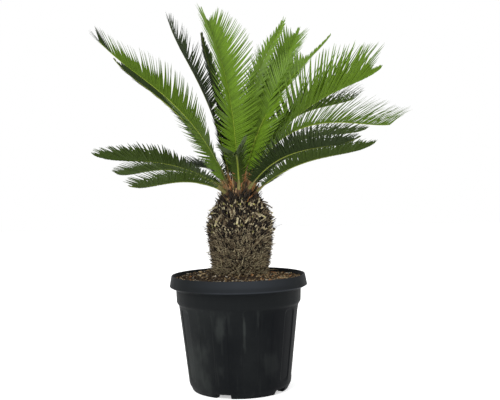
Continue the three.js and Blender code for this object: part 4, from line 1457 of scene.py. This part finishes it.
def make_fronds(settings):
    """The leaflets of all fronds in three meshes, and their ribs in one."""
    random = np.random.default_rng(FROND_SEED)
    leaf_finishes = leaf_materials(settings)
    rib_finishes = rib_materials(settings)
    for name in ("leaflets_upper", "leaflets_lower", "leaflets_back"):
        numbers = [number for number in range(len(FRONDS)) if leaflet_group(number) == name]
        leaves = Bundle()
        for number in numbers:
            add_leaflets(leaves, FRONDS[number], random, settings)
        nodes = [node_name(number) for number in numbers]
        leaves.build(name, leaf_finishes, nodes)
    ribs = Bundle()
    for frond in FRONDS:
        add_rib(ribs, frond)
    ribs.build("frond_ribs", rib_finishes, smooth=True)


# ---- Stage

CAMERA_PLACE = Vector((0.0334, -2.0, 0.5038))
CAMERA_PITCH = 0.0209
CAMERA_ROLL = 0.02
SENSOR_WIDTH = 36
FOCAL_IN_PIXELS = 811.6
FRAME_WIDTH = 500
LIGHT_TARGET = Vector((0, 0, 0.5))
KEY_PLACE = Vector((-1.3, -1.9, 2.3))
KEY_SIZE = 1.6
FILL_PLACE = Vector((2.2, -1.2, 1.3))
FILL_SIZE = 2.2
WHITE = (1.0, 1.0, 1.0, 1.0)


def make_stage(settings):
    """The pale floor, the soft light, two lamps and the camera."""
    half = settings.floor_size / 2
    corners = [(-half, -half, 0), (half, -half, 0), (half, half, 0), (-half, half, 0)]
    floor = bpy.data.meshes.new("floor")
    floor.from_pydata(corners, [], [(0, 1, 2, 3)])
    material = Shader("floor_paper").finish(
        Base_Color=(*settings.floor, 1.0),
        Roughness=0.9,
        Specular_IOR_Level=0.0,
        Emission_Color=WHITE,
        Emission_Strength=settings.glow,
    )
    floor.materials.append(material)
    floor_object = add_object("floor", floor)

    world = bpy.data.worlds.new("soft_light")
    world.use_nodes = True
    background = world.node_tree.nodes["Background"]
    background.inputs["Color"].default_value = WHITE
    background.inputs["Strength"].default_value = settings.sky
    bpy.context.scene.world = world
    add_light("key_light", settings.key, KEY_SIZE, KEY_PLACE)
    add_light("fill_light", settings.fill, FILL_SIZE, FILL_PLACE)

    lens = bpy.data.cameras.new("camera")
    lens.sensor_width = SENSOR_WIDTH
    lens.lens = FOCAL_IN_PIXELS * SENSOR_WIDTH / FRAME_WIDTH
    camera = add_object("camera", lens)
    camera.location = CAMERA_PLACE
    camera.rotation_mode = "XYZ"
    camera.rotation_euler = (np.pi / 2 - CAMERA_PITCH, CAMERA_ROLL, 0)
    bpy.context.scene.camera = camera
    bpy.context.scene.view_settings.view_transform = "Standard"


def add_light(name, power, size, place):
    """A square lamp that faces the middle of the plant."""
    light = bpy.data.lights.new(name, "AREA")
    light.energy = power
    light.size = size
    lamp = add_object(name, light)
    lamp.location = place
    lamp.rotation_euler = (LIGHT_TARGET - place).to_track_quat("-Z", "Y").to_euler()


# ---- Operators and panel


class MakePot(bpy.types.Operator):
    """Make the nursery pot"""

    bl_idname = "sago_palm.make_pot"
    bl_label = "Nursery pot"

    def execute(self, context):
        make_pot(context.scene.sago_palm.pot)
        return {"FINISHED"}


class MakeSoil(bpy.types.Operator):
    """Make the potting mix and its bark chips"""

    bl_idname = "sago_palm.make_soil"
    bl_label = "Soil"

    def execute(self, context):
        make_soil(context.scene.sago_palm.soil)
        return {"FINISHED"}


class MakeTrunk(bpy.types.Operator):
    """Make the trunk with its leaf bases and fibres"""

    bl_idname = "sago_palm.make_trunk"
    bl_label = "Trunk"

    def execute(self, context):
        make_trunk(context.scene.sago_palm.trunk)
        return {"FINISHED"}


class MakeCrown(bpy.types.Operator):
    """Make the bud and its scales"""

    bl_idname = "sago_palm.make_crown"
    bl_label = "Crown base"

    def execute(self, context):
        make_crown(context.scene.sago_palm.crown)
        return {"FINISHED"}


class MakeFronds(bpy.types.Operator):
    """Make the fronds' ribs and leaflets"""

    bl_idname = "sago_palm.make_fronds"
    bl_label = "Fronds"

    def execute(self, context):
        make_fronds(context.scene.sago_palm.frond)
        return {"FINISHED"}


class MakeStage(bpy.types.Operator):
    """Set up the floor, the lights and the camera"""

    bl_idname = "sago_palm.make_stage"
    bl_label = "Stage"

    def execute(self, context):
        make_stage(context.scene.sago_palm.stage)
        return {"FINISHED"}


OPERATORS = (MakePot, MakeSoil, MakeTrunk, MakeCrown, MakeFronds, MakeStage)


class SagoPalmPanel(bpy.types.Panel):
    """Lists the pieces of the sago palm and their settings"""

    bl_idname = "VIEW3D_PT_sago_palm"
    bl_label = "Sago Palm"
    bl_space_type = "VIEW_3D"
    bl_region_type = "UI"
    bl_category = "Sago Palm"

    def draw(self, context):
        settings = context.scene.sago_palm
        for operator, part in zip(OPERATORS, settings.__annotations__):
            group = getattr(settings, part)
            box = self.layout.box()
            box.operator(operator.bl_idname)
            for name in group.__annotations__:
                box.prop(group, name)


CLASSES = (
    PotSettings,
    SoilSettings,
    TrunkSettings,
    CrownSettings,
    FrondSettings,
    StageSettings,
    SagoPalmSettings,
    *OPERATORS,
    SagoPalmPanel,
)


def register():
    """Makes the classes and the settings known to Blender."""
    for cls in CLASSES:
        bpy.utils.register_class(cls)
    bpy.types.Scene.sago_palm = PointerProperty(type=SagoPalmSettings)


def unregister():
    """Takes the settings and the classes out again."""
    del bpy.types.Scene.sago_palm
    for cls in reversed(CLASSES):
        bpy.utils.unregister_class(cls)


def main():
    """Makes every piece and the stage."""
    register()
    bpy.ops.sago_palm.make_pot()
    bpy.ops.sago_palm.make_soil()
    bpy.ops.sago_palm.make_trunk()
    bpy.ops.sago_palm.make_crown()
    bpy.ops.sago_palm.make_fronds()
    bpy.ops.sago_palm.make_stage()


if __name__ == "__main__":
    main()
